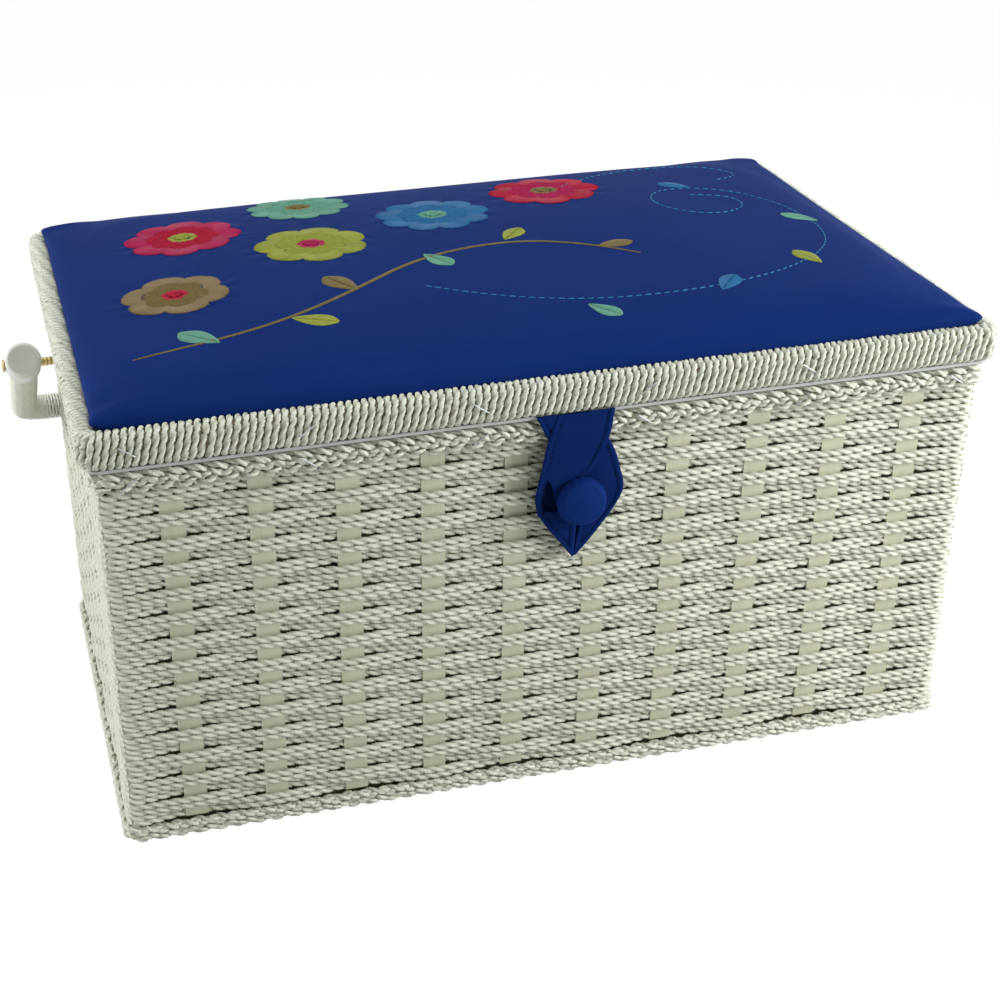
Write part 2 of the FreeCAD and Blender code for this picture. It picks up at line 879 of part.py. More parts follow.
export("base_board", base_board())
export("base_braid", base_braid())
export("top_braid", top_braid().cut(pivot_hole()))

back_wall = woven_back()
end_wall = woven_end()
export("woven_back", back_wall)
export("woven_front", opposite(back_wall).cut(shank_hole()))
export("woven_right", end_wall)
export("woven_left", opposite(end_wall))

back_stake_row = back_stakes()
end_stake_row = end_stakes()
export("stakes_back", back_stake_row)
export("stakes_front", opposite(back_stake_row))
export("stakes_right", end_stake_row)
export("stakes_left", opposite(end_stake_row))

back_card = lining_back()
end_card = lining_end().cut(pivot_hole())
export("lining_back", back_card)
export("lining_front", opposite(back_card).cut(shank_hole()))
export("lining_right", end_card)
export("lining_left", mirrored_x(end_card))
export("lining_floor", lining_floor())
export("tray_ledges", both_ends(tray_ledge()))
export("tray", tray())

export("lid_core", lid_core())
export("lid_band", lid_band())
export("lid_board", lid_board())
export("lid_padding", padding())
export("lid_satin_cover", satin_cover())
export("lid_lining", lid_lining())
export("pin_cushion", pin_cushion())
export("lid_pocket", lid_pocket())

export("hinge_pins", hinge_pins())
export("hinge_leaves_body", hinge_leaves_body())
export("hinge_leaves_lid", hinge_leaves_lid())

export("button_cap", button_cap())
export("button_shank", button_shank())
export("button_backing", button_backing())
export("closure_strap", closure_strap())

export("handle_core", handle_core())
export("handle_wrap", handle_wrap())
export("handle_caps", both_ends(handle_cap()))
export("handle_screws", both_ends(handle_screw()))
export("wall_washers", both_ends(wall_washer()))
export("handle_nuts", both_ends(handle_nut()))

braid_z = weave_top + top_braid_height / 2.0
band_z = band_bottom + band_height / 2.0
export("braid_staples", staples(-braid_half_y, braid_z, 1))
export("band_staples", staples(-lid_half_depth, band_z, -1))

print("arms %.2f degrees below level" % math.degrees(handle_angle()))
print("pivot y %.2f z %.2f, hinge y %.2f z %.2f" % (pivot_y, pivot_z, hinge_axis_y, hinge_axis_z))
print("lid band from %.2f to %.2f" % (band_bottom, band_top))
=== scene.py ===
import bmesh
import bpy
import json
import math
from mathutils import Matrix, Vector


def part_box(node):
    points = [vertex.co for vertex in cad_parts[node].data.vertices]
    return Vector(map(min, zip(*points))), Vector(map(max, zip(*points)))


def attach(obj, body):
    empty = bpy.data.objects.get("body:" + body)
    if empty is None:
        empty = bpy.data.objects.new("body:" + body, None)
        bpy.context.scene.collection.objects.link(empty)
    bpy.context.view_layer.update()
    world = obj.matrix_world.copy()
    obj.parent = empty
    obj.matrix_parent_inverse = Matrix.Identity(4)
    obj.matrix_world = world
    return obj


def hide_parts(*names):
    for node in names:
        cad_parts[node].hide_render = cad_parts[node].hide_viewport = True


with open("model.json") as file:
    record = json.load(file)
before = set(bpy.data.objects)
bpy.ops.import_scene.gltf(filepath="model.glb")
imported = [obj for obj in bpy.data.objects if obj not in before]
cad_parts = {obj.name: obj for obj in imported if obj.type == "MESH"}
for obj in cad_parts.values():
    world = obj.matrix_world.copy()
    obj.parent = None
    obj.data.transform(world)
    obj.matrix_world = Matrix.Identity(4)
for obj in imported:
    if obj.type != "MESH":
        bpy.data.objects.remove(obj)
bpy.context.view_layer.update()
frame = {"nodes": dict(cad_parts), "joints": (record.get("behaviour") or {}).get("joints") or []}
nodes = frame["nodes"]
scene = bpy.context.scene
scene.view_settings.view_transform = "Standard"
mm = 0.001


# The setting: a pale seamless table, a camera at the photograph's angle and
# large soft lamps, the strongest one on the left, as on a product shot.
view_azimuth = math.radians(-14.607)
view_elevation = math.radians(25.862)
view_roll = math.radians(-1.235)
view_distance = 767.63 * mm
view_target = Vector((-4.51, 0, 66.153)) * mm
view_focal_pixels = 1989.67
view_centre_pixels = (470.62, 508.46)
picture_pixels = 1000.0
sensor = 36.0

back = Vector((
    math.sin(view_azimuth) * math.cos(view_elevation),
    -math.cos(view_azimuth) * math.cos(view_elevation),
    math.sin(view_elevation),
))
level = Vector((0, 0, 1)).cross(back).normalized()
upward = back.cross(level)
camera_right = level * math.cos(view_roll) + upward * math.sin(view_roll)
camera_up = upward * math.cos(view_roll) - level * math.sin(view_roll)
camera_data = bpy.data.cameras.new("camera")
camera_data.sensor_width = sensor
camera_data.lens = sensor * view_focal_pixels / picture_pixels
camera_data.shift_x = 0.5 - view_centre_pixels[0] / picture_pixels
camera_data.shift_y = view_centre_pixels[1] / picture_pixels - 0.5
camera_data.clip_start = 0.05


def added(name, data):
    """A new object in the scene."""
    made = bpy.data.objects.new(name, data)
    scene.collection.objects.link(made)
    return made


camera = added("camera", camera_data)
turn = Matrix((camera_right, camera_up, back)).transposed().to_4x4()
camera.matrix_world = Matrix.Translation(view_target + back * view_distance) @ turn
scene.camera = camera
lit_middle = Vector((0, 0, 0.08))


def soft_lamp(name, place, size, power):
    """A square softbox that faces the middle of the box."""
    lamp = bpy.data.lights.new(name, "AREA")
    lamp.size = size
    lamp.energy = power
    holder = added(name, lamp)
    holder.location = place
    holder.rotation_euler = (Vector(place) - lit_middle).to_track_quat("Z", "Y").to_euler()


soft_lamp("left_softbox", (-0.95, -0.02, 0.55), 0.8, 7.8)
soft_lamp("right_softbox", (0.60, -0.42, 0.34), 0.35, 5.6)
soft_lamp("overhead_softbox", (0.0, 0.25, 1.1), 0.8, 3.0)


class Net:
    """A value in a node tree with the usual operators, and the one way to add any other node."""

    def __init__(self, tree, socket=None):
        self.tree = tree
        self.socket = socket

    def add(self, kind, inputs=None, stops=(), **settings):
        """A node: its settings first, then the values or links of its sockets. Gives its first output."""
        node = self.tree.nodes.new(kind)
        for name, value in settings.items():
            setattr(node, name, value)
        for element, (place, colour) in zip(node.color_ramp.elements if stops else (), stops):
            element.position = place
            element.color = (*colour, 1.0)
        for name, value in (inputs or {}).items():
            socket = node.inputs[name] if isinstance(name, int) else Net.named(node, name)
            if isinstance(value, Net):
                self.tree.links.new(value.socket, socket)
            else:
                socket.default_value = value
        return Net(self.tree, next(s for s in node.outputs if s.enabled))

    @staticmethod
    def named(node, name):
        return next(s for s in node.inputs if s.name == name and s.enabled)

    def out(self, name):
        """Another output of the same node."""
        return Net(self.tree, self.socket.node.outputs[name])

    def math(self, operation, *values):
        return self.add("ShaderNodeMath", dict(enumerate(values)), operation=operation)

    def __add__(self, other):
        return self.math("ADD", self, other)

    def __sub__(self, other):
        return self.math("SUBTRACT", self, other)

    def __rsub__(self, other):
        return self.math("SUBTRACT", other, self)

    def __mul__(self, other):
        return self.math("MULTIPLY", self, other)

    def __truediv__(self, other):
        return self.math("DIVIDE", self, other)

    __radd__ = __add__
    __rmul__ = __mul__

    def mix(self, low, high):
        """A colour between two, by this share."""
        return self.add("ShaderNodeMix", {"Factor": self, "A": low, "B": high}, data_type="RGBA")

    def sin(self):
        return self.math("SINE", self)

    def cos(self):
        return self.math("COSINE", self)

    def abs(self):
        return self.math("ABSOLUTE", self)

    def above(self, limit):
        return self.math("GREATER_THAN", self, limit)

    def max(self, other):
        return self.math("MAXIMUM", self, other)

    def min(self, other):
        return self.math("MINIMUM", self, other)

    def xyz(self, x, y, z):
        """A vector of three numbers."""
        return self.add("ShaderNodeCombineXYZ", {"X": x, "Y": y, "Z": z})

    def numbers(self, vector):
        """The three numbers of a vector."""
        parts = self.add("ShaderNodeSeparateXYZ", {"Vector": vector})
        return parts.out("X"), parts.out("Y"), parts.out("Z")

    def vector(self, operation, *values):
        """A vector from vectors."""
        return self.add("ShaderNodeVectorMath", dict(enumerate(values)), operation=operation)

    def times(self, size):
        """This vector, made longer or shorter."""
        return self.add("ShaderNodeVectorMath", {"Vector": self, "Scale": size}, operation="SCALE")

    def stored(self, name):
        """A number kept on the points of the mesh."""
        return self.add("ShaderNodeAttribute", attribute_name=name).out("Fac")

    def index(self):
        """The number of each point."""
        return self.add("GeometryNodeInputIndex")

    def noise(self, vector, scale, detail=2.0):
        """Even noise between 0 and 1, stretched where it has a scale for each axis."""
        if isinstance(scale, tuple):
            vector = self.add("ShaderNodeMapping", {"Vector": vector, "Scale": scale})
            scale = 1.0
        return self.add("ShaderNodeTexNoise", {"Vector": vector, "Scale": scale, "Detail": detail})


def seen_rays(net):
    """1 for what shows straight to the eye, in gloss or through glass."""
    rays = net.add("ShaderNodeLightPath")
    return rays.max(rays.out("Is Glossy Ray")).max(rays.out("Is Transmission Ray"))


def stage_material(net):
    """Lit like paper, but white to the eye and in reflections, with the shadow kept faint."""
    lit = net.add("ShaderNodeBsdfDiffuse", {"Color": (0.62, 0.63, 0.61, 1)})
    white = net.add("ShaderNodeEmission", {"Color": (1, 1, 1, 1), "Strength": 1.10})
    return net.add("ShaderNodeMixShader", {0: seen_rays(net) * 0.87, 1: lit, 2: white})


floor_mesh = bpy.data.meshes.new("floor")
floor_reach = 6.0
floor_gap = 0.05 * mm
floor_corners = [(x * floor_reach, y * floor_reach, 0) for x, y in ((-1, -1), (1, -1), (1, 1), (-1, 1))]
floor_mesh.from_pydata(floor_corners, [], [(0, 1, 2, 3)])
floor = added("floor", floor_mesh)
floor.location.z = -floor_gap
floor_finish = bpy.data.materials.new("pale_table")
floor_finish.use_nodes = True
floor_tree = floor_finish.node_tree
floor_end = floor_tree.nodes["Material Output"]
floor_tree.links.new(stage_material(Net(floor_tree)).socket, floor_end.inputs["Surface"])
floor_mesh.materials.append(floor_finish)

world = bpy.data.worlds.new("studio")
world.use_nodes = True
scene.world = world
sky = world.node_tree.nodes["Background"]
strength = 0.23 + seen_rays(Net(world.node_tree)) * 0.77
world.node_tree.links.new(strength.socket, sky.inputs["Strength"])
sky.inputs["Color"].default_value = (1, 1, 1, 1)


# The walls: two-ply twisted paper rope, woven in pairs over and under the
# stakes and turned round the corners, from the base braid to the top braid.
braid_proud = 1.8 * mm
rope_radius = 1.32 * mm
rope_lay = 8.6 * mm
rope_step = 1.08 * mm
rope_front = 1.3 * mm
rope_back = 4.1 * mm
rope_corner = 5.0 * mm
rope_wander = 0.5 * mm
rope_sag = 0.9 * mm
rope_fade = 6.0 * mm
strands = 56
stake_pitch_long = 28.3 * mm
stake_pitch_end = 27.0 * mm
stakes_long = 10
stakes_end = 6

weave_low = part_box("woven_front")[0].z
weave_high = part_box("woven_front")[1].z
rim_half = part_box("top_braid")[1]
foot_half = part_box("base_braid")[1]


def material(name, constants, build):
    """A Principled material: constants on its own sockets, and links for what changes over the surface."""
    made = bpy.data.materials.new(name)
    made.use_nodes = True
    shader = made.node_tree.nodes["Principled BSDF"]
    for socket, value in constants.items():
        shader.inputs[socket].default_value = value
    for socket, value in build(Net(made.node_tree)).items():
        made.node_tree.links.new(value.socket, shader.inputs[socket])
    return made


def bump(net, height, distance, strength=1.0):
    """A surface normal from a height."""
    return net.add("ShaderNodeBump", {"Strength": strength, "Distance": distance, "Height": height})


def place_of(net):
    """Object coordinates, in metres."""
    return net.add("ShaderNodeTexCoord").out("Object")


def rope_shades(net):
    """Paper rope: pale plies with painted shade in the grooves, fine fibres along them and slight unevenness.
    """
    groove = net.stored("groove")
    shade = net.stored("shade")
    fibres = net.noise(net.xyz(net.stored("along") * 260.0, groove * 2.4, shade * 30.0), 1.0, 3.0)
    patches = net.noise(place_of(net), 60.0)
    paper = (fibres * 0.55 + patches * 0.45).mix((0.66, 0.69, 0.57, 1), (0.86, 0.89, 0.79, 1))
    paper = (shade * 0.35).mix(paper, (0.68, 0.70, 0.58, 1))
    # Painted shade: the grooves between the plies are painted darker, as shade.
    colour = (groove * 0.56).mix(paper, (0.32, 0.32, 0.22, 1))
    return {"Base Color": colour, "Roughness": 0.44 + fibres * 0.34,
            "Normal": bump(net, fibres - groove * 0.9, 0.25 * mm, 0.7)}


rope = material("paper_rope", {"Specular IOR Level": 0.36}, rope_shades)


def two_plies(net, radius):
    """The section of a two-ply rope, drawn in at the groove between the plies."""
    circle = net.add("GeometryNodeCurvePrimitiveCircle", {"Resolution": 8, "Radius": 1.0}, mode="RADIUS")
    angle = net.index() * (math.pi / 4)
    side = angle.sin()
    groove = side * side * side * side
    section = moved_to(net, circle, net.xyz(angle.cos() * radius, side * (1.0 - groove * 0.36) * radius, 0.0))
    return store(net, section, "groove", groove)


def moved_to(net, shape, place):
    """Sets each point at a place."""
    return net.add("GeometryNodeSetPosition", {"Geometry": shape, "Position": place})


def store(net, shape, name, value, domain="POINT"):
    """Keeps a number on each point, for the material."""
    return net.add("GeometryNodeStoreNamedAttribute", {"Geometry": shape, "Name": name, "Value": value},
                   data_type="FLOAT", domain=domain)


def smoothed(net, shape):
    """Shades a shape smooth."""
    return net.add("GeometryNodeSetShadeSmooth", {"Geometry": shape, "Shade Smooth": True})


def twisted(net, curve, radius, lay, shade):
    """Sweeps the two plies along a curve, turning one full turn in each lay."""
    length = net.add("GeometryNodeSplineParameter").out("Length")
    kept = store(net, store(net, curve, "along", length), "shade", shade)
    tilt = length * (2 * math.pi / lay) + shade * 6.28
    tilted = net.add("GeometryNodeSetCurveTilt", {"Curve": kept, "Tilt": tilt})
    return smoothed(net, swept(net, tilted, two_plies(net, radius)))


def swept(net, path, section):
    """A section drawn along a path, closed at its ends."""
    return net.add("GeometryNodeCurveToMesh", {"Curve": path, "Profile Curve": section, "Fill Caps": True})


def hashed(net, number, seed, low=0.0, high=1.0):
    """A fixed random number for each whole number."""
    return net.add("FunctionNodeRandomValue", {"Min": low, "Max": high, "ID": number, "Seed": seed},
                   data_type="FLOAT")


def even_line(net, points):
    """One line of so many points, to be bent into shape."""
    line = net.add("GeometryNodeCurvePrimitiveLine", {"End": (1.0, 0.0, 0.0)})
    return net.add("GeometryNodeResampleCurve", {"Curve": line, "Count": points}, mode="COUNT")


def row_of_points(net, count):
    """So many points in one spot, to be set in their places."""
    return net.add("GeometryNodeMeshLine", {"Count": count, "Offset": (0.0, 0.0, 0.0)})


def many_lines(net, count, points):
    """Several lines of as many points each, one curve."""
    copies = net.add("GeometryNodeInstanceOnPoints", {
        "Points": row_of_points(net, count), "Instance": even_line(net, points)})
    return net.add("GeometryNodeRealizeInstances", {"Geometry": copies})


def baked(piece):
    """Turns what a piece's modifiers make into its plain mesh."""
    mesh = bpy.data.meshes.new_from_object(piece.evaluated_get(bpy.context.evaluated_depsgraph_get()))
    piece.modifiers.clear()
    piece.data = mesh
    mesh.name = piece.name
    return piece


def grown(name, sizes, finish, build):
    """A plain mesh from a Geometry Nodes tree with named inputs."""
    tree = bpy.data.node_groups.new(name, "GeometryNodeTree")
    tree.interface.new_socket(name="Geometry", in_out="OUTPUT", socket_type="NodeSocketGeometry")
    for label, value in sizes.items():
        kind = {int: "NodeSocketInt", float: "NodeSocketFloat"}.get(type(value), "NodeSocketObject")
        tree.interface.new_socket(name=label, in_out="INPUT", socket_type=kind)
    source = tree.nodes.new("NodeGroupInput")
    given = {label: Net(tree, source.outputs[label]) for label in sizes}
    net = Net(tree)
    real = net.add("GeometryNodeRealizeInstances", {"Geometry": build(net, given)})
    dressed = net.add("GeometryNodeSetMaterial", {"Geometry": real, "Material": finish}) if finish else real
    tree.links.new(dressed.socket, tree.nodes.new("NodeGroupOutput").inputs["Geometry"])
    piece = added(name, bpy.data.meshes.new(name))
    modifier = piece.modifiers.new("shape", "NODES")
    modifier.node_group = tree
    for item in tree.interface.items_tree:
        if item.in_out == "INPUT":
            modifier[item.identifier] = sizes[item.name]
    return baked(piece)


def fit(piece, body, slot, *stands_for):
    """Hangs a piece on its body, in place of the solids it stands for."""
    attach(piece, body)
    if stands_for:
        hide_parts(*stands_for)


def upright(net, path):
    """Keeps a path's section level, so that every rope is twisted alike."""
    return net.add("GeometryNodeSetCurveNormal", {"Curve": path}, mode="Z_UP")


def woven_wall(net, given):
    """Rope strands along one wall, each from the middle of one corner to the middle of the next."""
    points = given["Points"]
    index = net.index()
    strand = net.math("FLOOR", (index + 0.5) / points)
    share = (index - strand * points) / (points - 1.0)
    number = strand + given["First strand"]
    height = given["Low"] + (given["High"] - given["Low"]) * ((number + 0.5) / given["Strands"])
    rise = height / given["Rim height"]
    half = given["Half at foot"] + (given["Half at rim"] - given["Half at foot"]) * rise
    out = given["Out at foot"] + (given["Out at rim"] - given["Out at foot"]) * rise
    corner = given["Corner"]
    straight = half - corner
    end = straight + corner * (math.pi / 4)
    u = (share * 2.0 - 1.0) * end
    size = u.abs()
    turned = (size - straight).max(0.0) / corner

    pair = net.math("FLOOR", number / 2.0)
    order = 1.0 - net.math("MODULO", pair, 2.0) * 2.0
    last = given["Last stake"]
    onward = (size - last).max(0.0) / (end - last) * math.pi
    between = net.math("SIGN", u) * (size.min(last) / given["Stake pitch"] * math.pi).sin() * order
    wave = between * onward.cos()
    held = (size - last).above(0.0) * between.above(0.0)
    over = wave + held * (1.0 - wave)
    rough = net.noise(net.xyz(u * 55.0, number * 3.7, given["Seed"] * 1.3), 1.0) - 0.5
    fade = ((end - size) / rope_fade).min(1.0)
    depth = given["Front"] + (given["Back"] - given["Front"]) * (1.0 - over) * 0.5
    depth = depth + rough * fade * rope_wander
    sag = net.noise(net.xyz(u * 40.0, pair * 5.1 + 9.0, given["Seed"] * 2.1), 1.0) - 0.5

    along = net.math("SIGN", u) * (size.min(straight) + (corner - depth) * turned.sin())
    away = out - corner + (corner - depth) * turned.cos()
    spot = net.xyz(along, away * -1.0, height + sag * fade * rope_sag)
    bent = moved_to(net, many_lines(net, given["Count"], points), spot)
    woven = twisted(net, upright(net, bent), given["Radius"], rope_lay, hashed(net, number, 11))
    return net.add("GeometryNodeTransform", {"Geometry": woven, "Rotation": net.xyz(0.0, 0.0, given["Turn"])})


def wall_sizes(half, out, pitch, stakes, quarter, first, count):
    """The named sizes of one wall's weave."""
    length = 2 * (max(half) - rope_corner * (1 - math.pi / 4))
    return {
        "Points": int(length / rope_step), "Count": count, "First strand": first, "Strands": float(strands),
        "Low": weave_low, "High": weave_high, "Rim height": rim_half.z,
        "Half at foot": half[0], "Half at rim": half[1], "Out at foot": out[0], "Out at rim": out[1],
        "Corner": rope_corner, "Stake pitch": pitch, "Last stake": (stakes - 1) / 2 * pitch,
        "Front": rope_front, "Back": rope_back, "Radius": rope_radius, "Seed": float(quarter + 3),
        "Turn": quarter * math.pi / 2,
    }


ends_half = (foot_half.x - braid_proud, rim_half.x - braid_proud)
sides_half = (foot_half.y - braid_proud, rim_half.y - braid_proud)
walls = (("front", 0, ends_half, sides_half), ("right", 1, sides_half, ends_half),
         ("back", 2, ends_half, sides_half), ("left", 3, sides_half, ends_half))
for side, quarter, half, out in walls:
    long_wall = quarter % 2 == 0
    pitch = stake_pitch_long if long_wall else stake_pitch_end
    stakes = stakes_long if long_wall else stakes_end
    parts = ((0, strands // 2), (strands // 2, strands // 2)) if long_wall else ((0, strands),)
    for first, count in parts:
        name = "rope_" + side + ("_upper" if first else "")
        sizes = wall_sizes(half, out, pitch, stakes, quarter, first, count)
        fit(grown(name, sizes, rope, woven_wall), "root", "rope", "woven_" + side)


# The stakes: flat split cane, ivory and smooth with a fine grain up the stake,
# upright behind the over-going ropes and pushed into the two braids.
def mottled(name, constants, dark, pale, clouds, grain, share, relief, dull=None):
    """A material between two colours, by a share of its clouds and the rest of its finer grain, its relief.

    Clouds and grain are a scale and a detail; dull is a least roughness and what the clouds add to it."""
    def shades(net):
        broad = net.noise(place_of(net), *clouds)
        fine = net.noise(place_of(net), *grain)
        links = {"Base Color": (broad * share + fine * (1.0 - share)).mix((*dark, 1), (*pale, 1)),
                 "Normal": bump(net, fine, *relief)}
        if dull:
            links["Roughness"] = dull[0] + broad * dull[1]
        return links
    return material(name, constants, shades)


def paint(node, finish):
    """Gives a carried-over solid its material."""
    for slot in nodes[node].material_slots:
        slot.material = finish


cane = mottled("split_cane", {"Roughness": 0.42}, (0.49, 0.49, 0.34), (0.68, 0.69, 0.54),
               clouds=(45.0,), grain=((900.0, 900.0, 30.0), 3.0), share=0.5, relief=(0.1 * mm, 0.3))
for side, quarter, half, out in walls:
    paint("stakes_" + side, cane)


# The borders: three pairs of ropes plaited flat, one ring round the rim and a
# narrower one round the foot.
plait_rope = 1.15 * mm
plait_inset = 2.4 * mm
plait_corner = 5.0 * mm
plait_repeat = 20.0 * mm
plait_depth = 1.2 * mm
plait_points = 960


def rounded_frame(net, width, height, radius, count):
    """A rectangle with rounded corners, as a path."""
    sharp = net.add("GeometryNodeCurvePrimitiveQuadrilateral", {"Width": width, "Height": height},
                    mode="RECTANGLE")
    return net.add("GeometryNodeFilletCurve", {"Curve": sharp, "Radius": radius, "Count": count}, mode="POLY")


def at_length(net, path, length):
    """The place at a length along a path, with its direction as another output."""
    return net.add("GeometryNodeSampleCurve", {"Curves": path, "Length": length},
                   mode="LENGTH", use_all_curves=True)


def plait(net, given):
    """Six ropes in three pairs that cross over and under round a rounded rectangle."""
    guide = rounded_frame(net, given["Half width"] * 2.0, given["Half depth"] * 2.0, given["Corner"], 8)
    round_trip = net.add("GeometryNodeCurveLength", {"Curve": guide})
    points = given["Points"]
    index = net.index()
    rope_number = net.math("FLOOR", (index + 0.5) / points)
    share = (index - rope_number * points) / points
    pair = net.math("FLOOR", (rope_number + 0.5) / 2.0)
    side = (rope_number - pair * 2.0) * 2.0 - 1.0
    repeats = net.math("ROUND", round_trip / given["Repeat"])
    angle = share * repeats * (2 * math.pi) + pair * (2 * math.pi / 3)
    slope = net.math("ARCTANGENT", angle.cos() * repeats * given["Swing"] * (2 * math.pi) / round_trip)
    loose = net.noise(net.xyz(share * 160.0, rope_number * 4.3, 2.0), 1.0) - 0.5
    spread = given["Spread"]
    up = angle.sin() * given["Swing"] + side * slope.cos() * spread
    shift = side * slope.sin() * spread * -1.0
    deep = (angle * 2.0).sin() * given["Depth"] + loose * rope_wander
    place = net.math("FRACT", share + shift / round_trip + 1.0) * round_trip
    at = at_length(net, guide, place)
    outward = net.vector("CROSS_PRODUCT", at.out("Tangent"), (0.0, 0.0, 1.0))
    moved = net.vector("ADD", at.out("Position"), outward.times(deep * -1.0))
    moved = net.vector("ADD", moved, net.xyz(0.0, 0.0, given["Height"] + up))
    ring = net.add("GeometryNodeSetSplineCyclic", {"Geometry": many_lines(net, 6, points), "Cyclic": True})
    bent = upright(net, moved_to(net, ring, moved))
    return twisted(net, bent, given["Radius"], rope_lay, hashed(net, rope_number, 5))


for node, name in (("top_braid", "plait_rim"), ("base_braid", "plait_foot")):
    low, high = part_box(node)
    sizes = {
        "Half width": high.x - plait_inset, "Half depth": high.y - plait_inset, "Corner": plait_corner,
        "Height": (low.z + high.z) / 2, "Points": plait_points, "Repeat": plait_repeat,
        "Swing": (high.z - low.z) / 2 - 2.1 * plait_rope, "Spread": plait_rope, "Depth": plait_depth,
        "Radius": plait_rope,
    }
    fit(grown(name, sizes, rope, plait), "root", "rope", node)


# The inside: cards covered with blue satin on the side that shows, set in
# against the walls and on the base board, with two covered strips for the tray.
lining_middle = 5.2 * mm
lining_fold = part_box("lining_front")[1].z - 1.2 * mm
threads_across = 0.55 * mm
threads_along = 0.5 * mm


def satin_colour(net):
    """Blue satin: faint slubs along X and soft clouds, in one deep blue."""
    slubs = net.noise(place_of(net), (130.0, 1100.0, 1100.0))
    clouds = net.noise(place_of(net), 24.0)
    return (slubs * 0.35 + clouds * 0.65).mix((0.0042, 0.0185, 0.110, 1), (0.0075, 0.031, 0.175, 1)), slubs


def cloth_height(net, slubs):
    """The height of a fine plain weave with a few thicker threads."""
    x, y, z = net.numbers(place_of(net))
    across = (x * (2 * math.pi / threads_across)).sin()
    along = ((y + z) * (2 * math.pi / threads_along)).sin()
    return across * along * 0.3 + slubs


def satin_shades(net):
    colour, slubs = satin_colour(net)
    return {"Base Color": colour, "Normal": bump(net, cloth_height(net, slubs), 0.05 * mm, 0.35)}


satin_gloss = {"Roughness": 0.5, "Specular IOR Level": 0.01, "Sheen Weight": 0.02, "Sheen Roughness": 0.4,
               "Sheen Tint": (0.12, 0.25, 1.0, 1.0)}
satin = material("blue_satin", satin_gloss, satin_shades)


def card_shades(net):
    """Satin on the side that faces in; on the side that faces the ropes, raw card painted very dark as
    painted shade in the gaps between the ropes.
    """
    colour, slubs = satin_colour(net)
    x, y, z = net.numbers(place_of(net))
    rise = z / rim_half.z
    side = sides_half[0] + (sides_half[1] - sides_half[0]) * rise - y.abs()
    end = ends_half[0] + (ends_half[1] - ends_half[0]) * rise - x.abs()
    covered = side.min(end).above(lining_middle).max(z.above(lining_fold))
    pulp = net.noise(place_of(net), 900.0, 3.0)
    # Painted shade: the raw card is painted much darker than the grey board, to stand for the shade in the
    # gaps beside the stakes.
    raw_card_and_painted_shade = pulp.mix((0.045, 0.040, 0.028, 1), (0.095, 0.085, 0.062, 1))
    height = cloth_height(net, slubs) * covered + pulp * (1.0 - covered)
    return {"Base Color": covered.mix(raw_card_and_painted_shade, colour), "Normal": bump(net, height, 0.05 * mm, 0.35)}


covered_card = material("satin_covered_card", satin_gloss, card_shades)
for node in ("lining_front", "lining_back", "lining_left", "lining_right", "lining_floor"):
    paint(node, covered_card)
paint("tray_ledges", satin)


# The boards: grey pressed board with flecks of pulp, one inside the foot border as
# the bottom of the basket and one in the lid under the foam.
greyboard = mottled("pressed_board", {"Roughness": 0.85, "Specular IOR Level": 0.25},
                    (0.20, 0.17, 0.12), (0.36, 0.31, 0.23),
                    clouds=(30.0,), grain=(700.0, 4.0), share=0.4, relief=(0.12 * mm, 0.4))
paint("base_board", greyboard)
paint("lid_board", greyboard)


# The lift-out tray: one moulding of milky plastic with five compartments, which
# lies loose on the two covered strips.
def tray_shades(net):
    """Milky moulded plastic, slightly uneven, with streaky rub marks scattered over it."""
    flow = net.noise(place_of(net), 35.0)
    grain = net.noise(place_of(net), 1500.0, 1.0)
    rubs = net.noise(place_of(net), (60.0, 60.0, 700.0), 3.0)
    colour = flow.mix((0.70, 0.72, 0.70, 1), (0.80, 0.81, 0.78, 1))
    return {"Base Color": (rubs * 0.25).mix(colour, (0.62, 0.63, 0.60, 1)), "Roughness": 0.28 + rubs * 0.2,
            "Normal": bump(net, grain, 0.03 * mm, 0.3)}


paint("tray", material("moulded_tray_plastic", {"Specular IOR Level": 0.5}, tray_shades))


# The lid's frame and card: four glued strips of soft pale wood inside the
# winding, with a card that fills the frame and carries the padding.
long_grain = ((60.0, 60.0, 600.0), 4.0)
paint("lid_core", mottled("plain_wood", {"Roughness": 0.7}, (0.26, 0.21, 0.12), (0.48, 0.40, 0.26),
                          clouds=long_grain, grain=long_grain, share=0.0, relief=(0.15 * mm, 0.4)))


# The lid's edge: wooden strips wound close with the same rope, about four
# hundred turns, which hides the strips and grips the satin's edge.
band_low, band_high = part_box("lid_band")
band_width = 8.0 * mm
lid_corner = 6.5 * mm
winding_radius = 1.18 * mm
winding_pitch = 2.5 * mm
winding_lean = 0.16
winding_wander = 1.4 * mm
winding_slack = 0.3 * mm
strip_round = 2.0 * mm
turn_points = 24.0


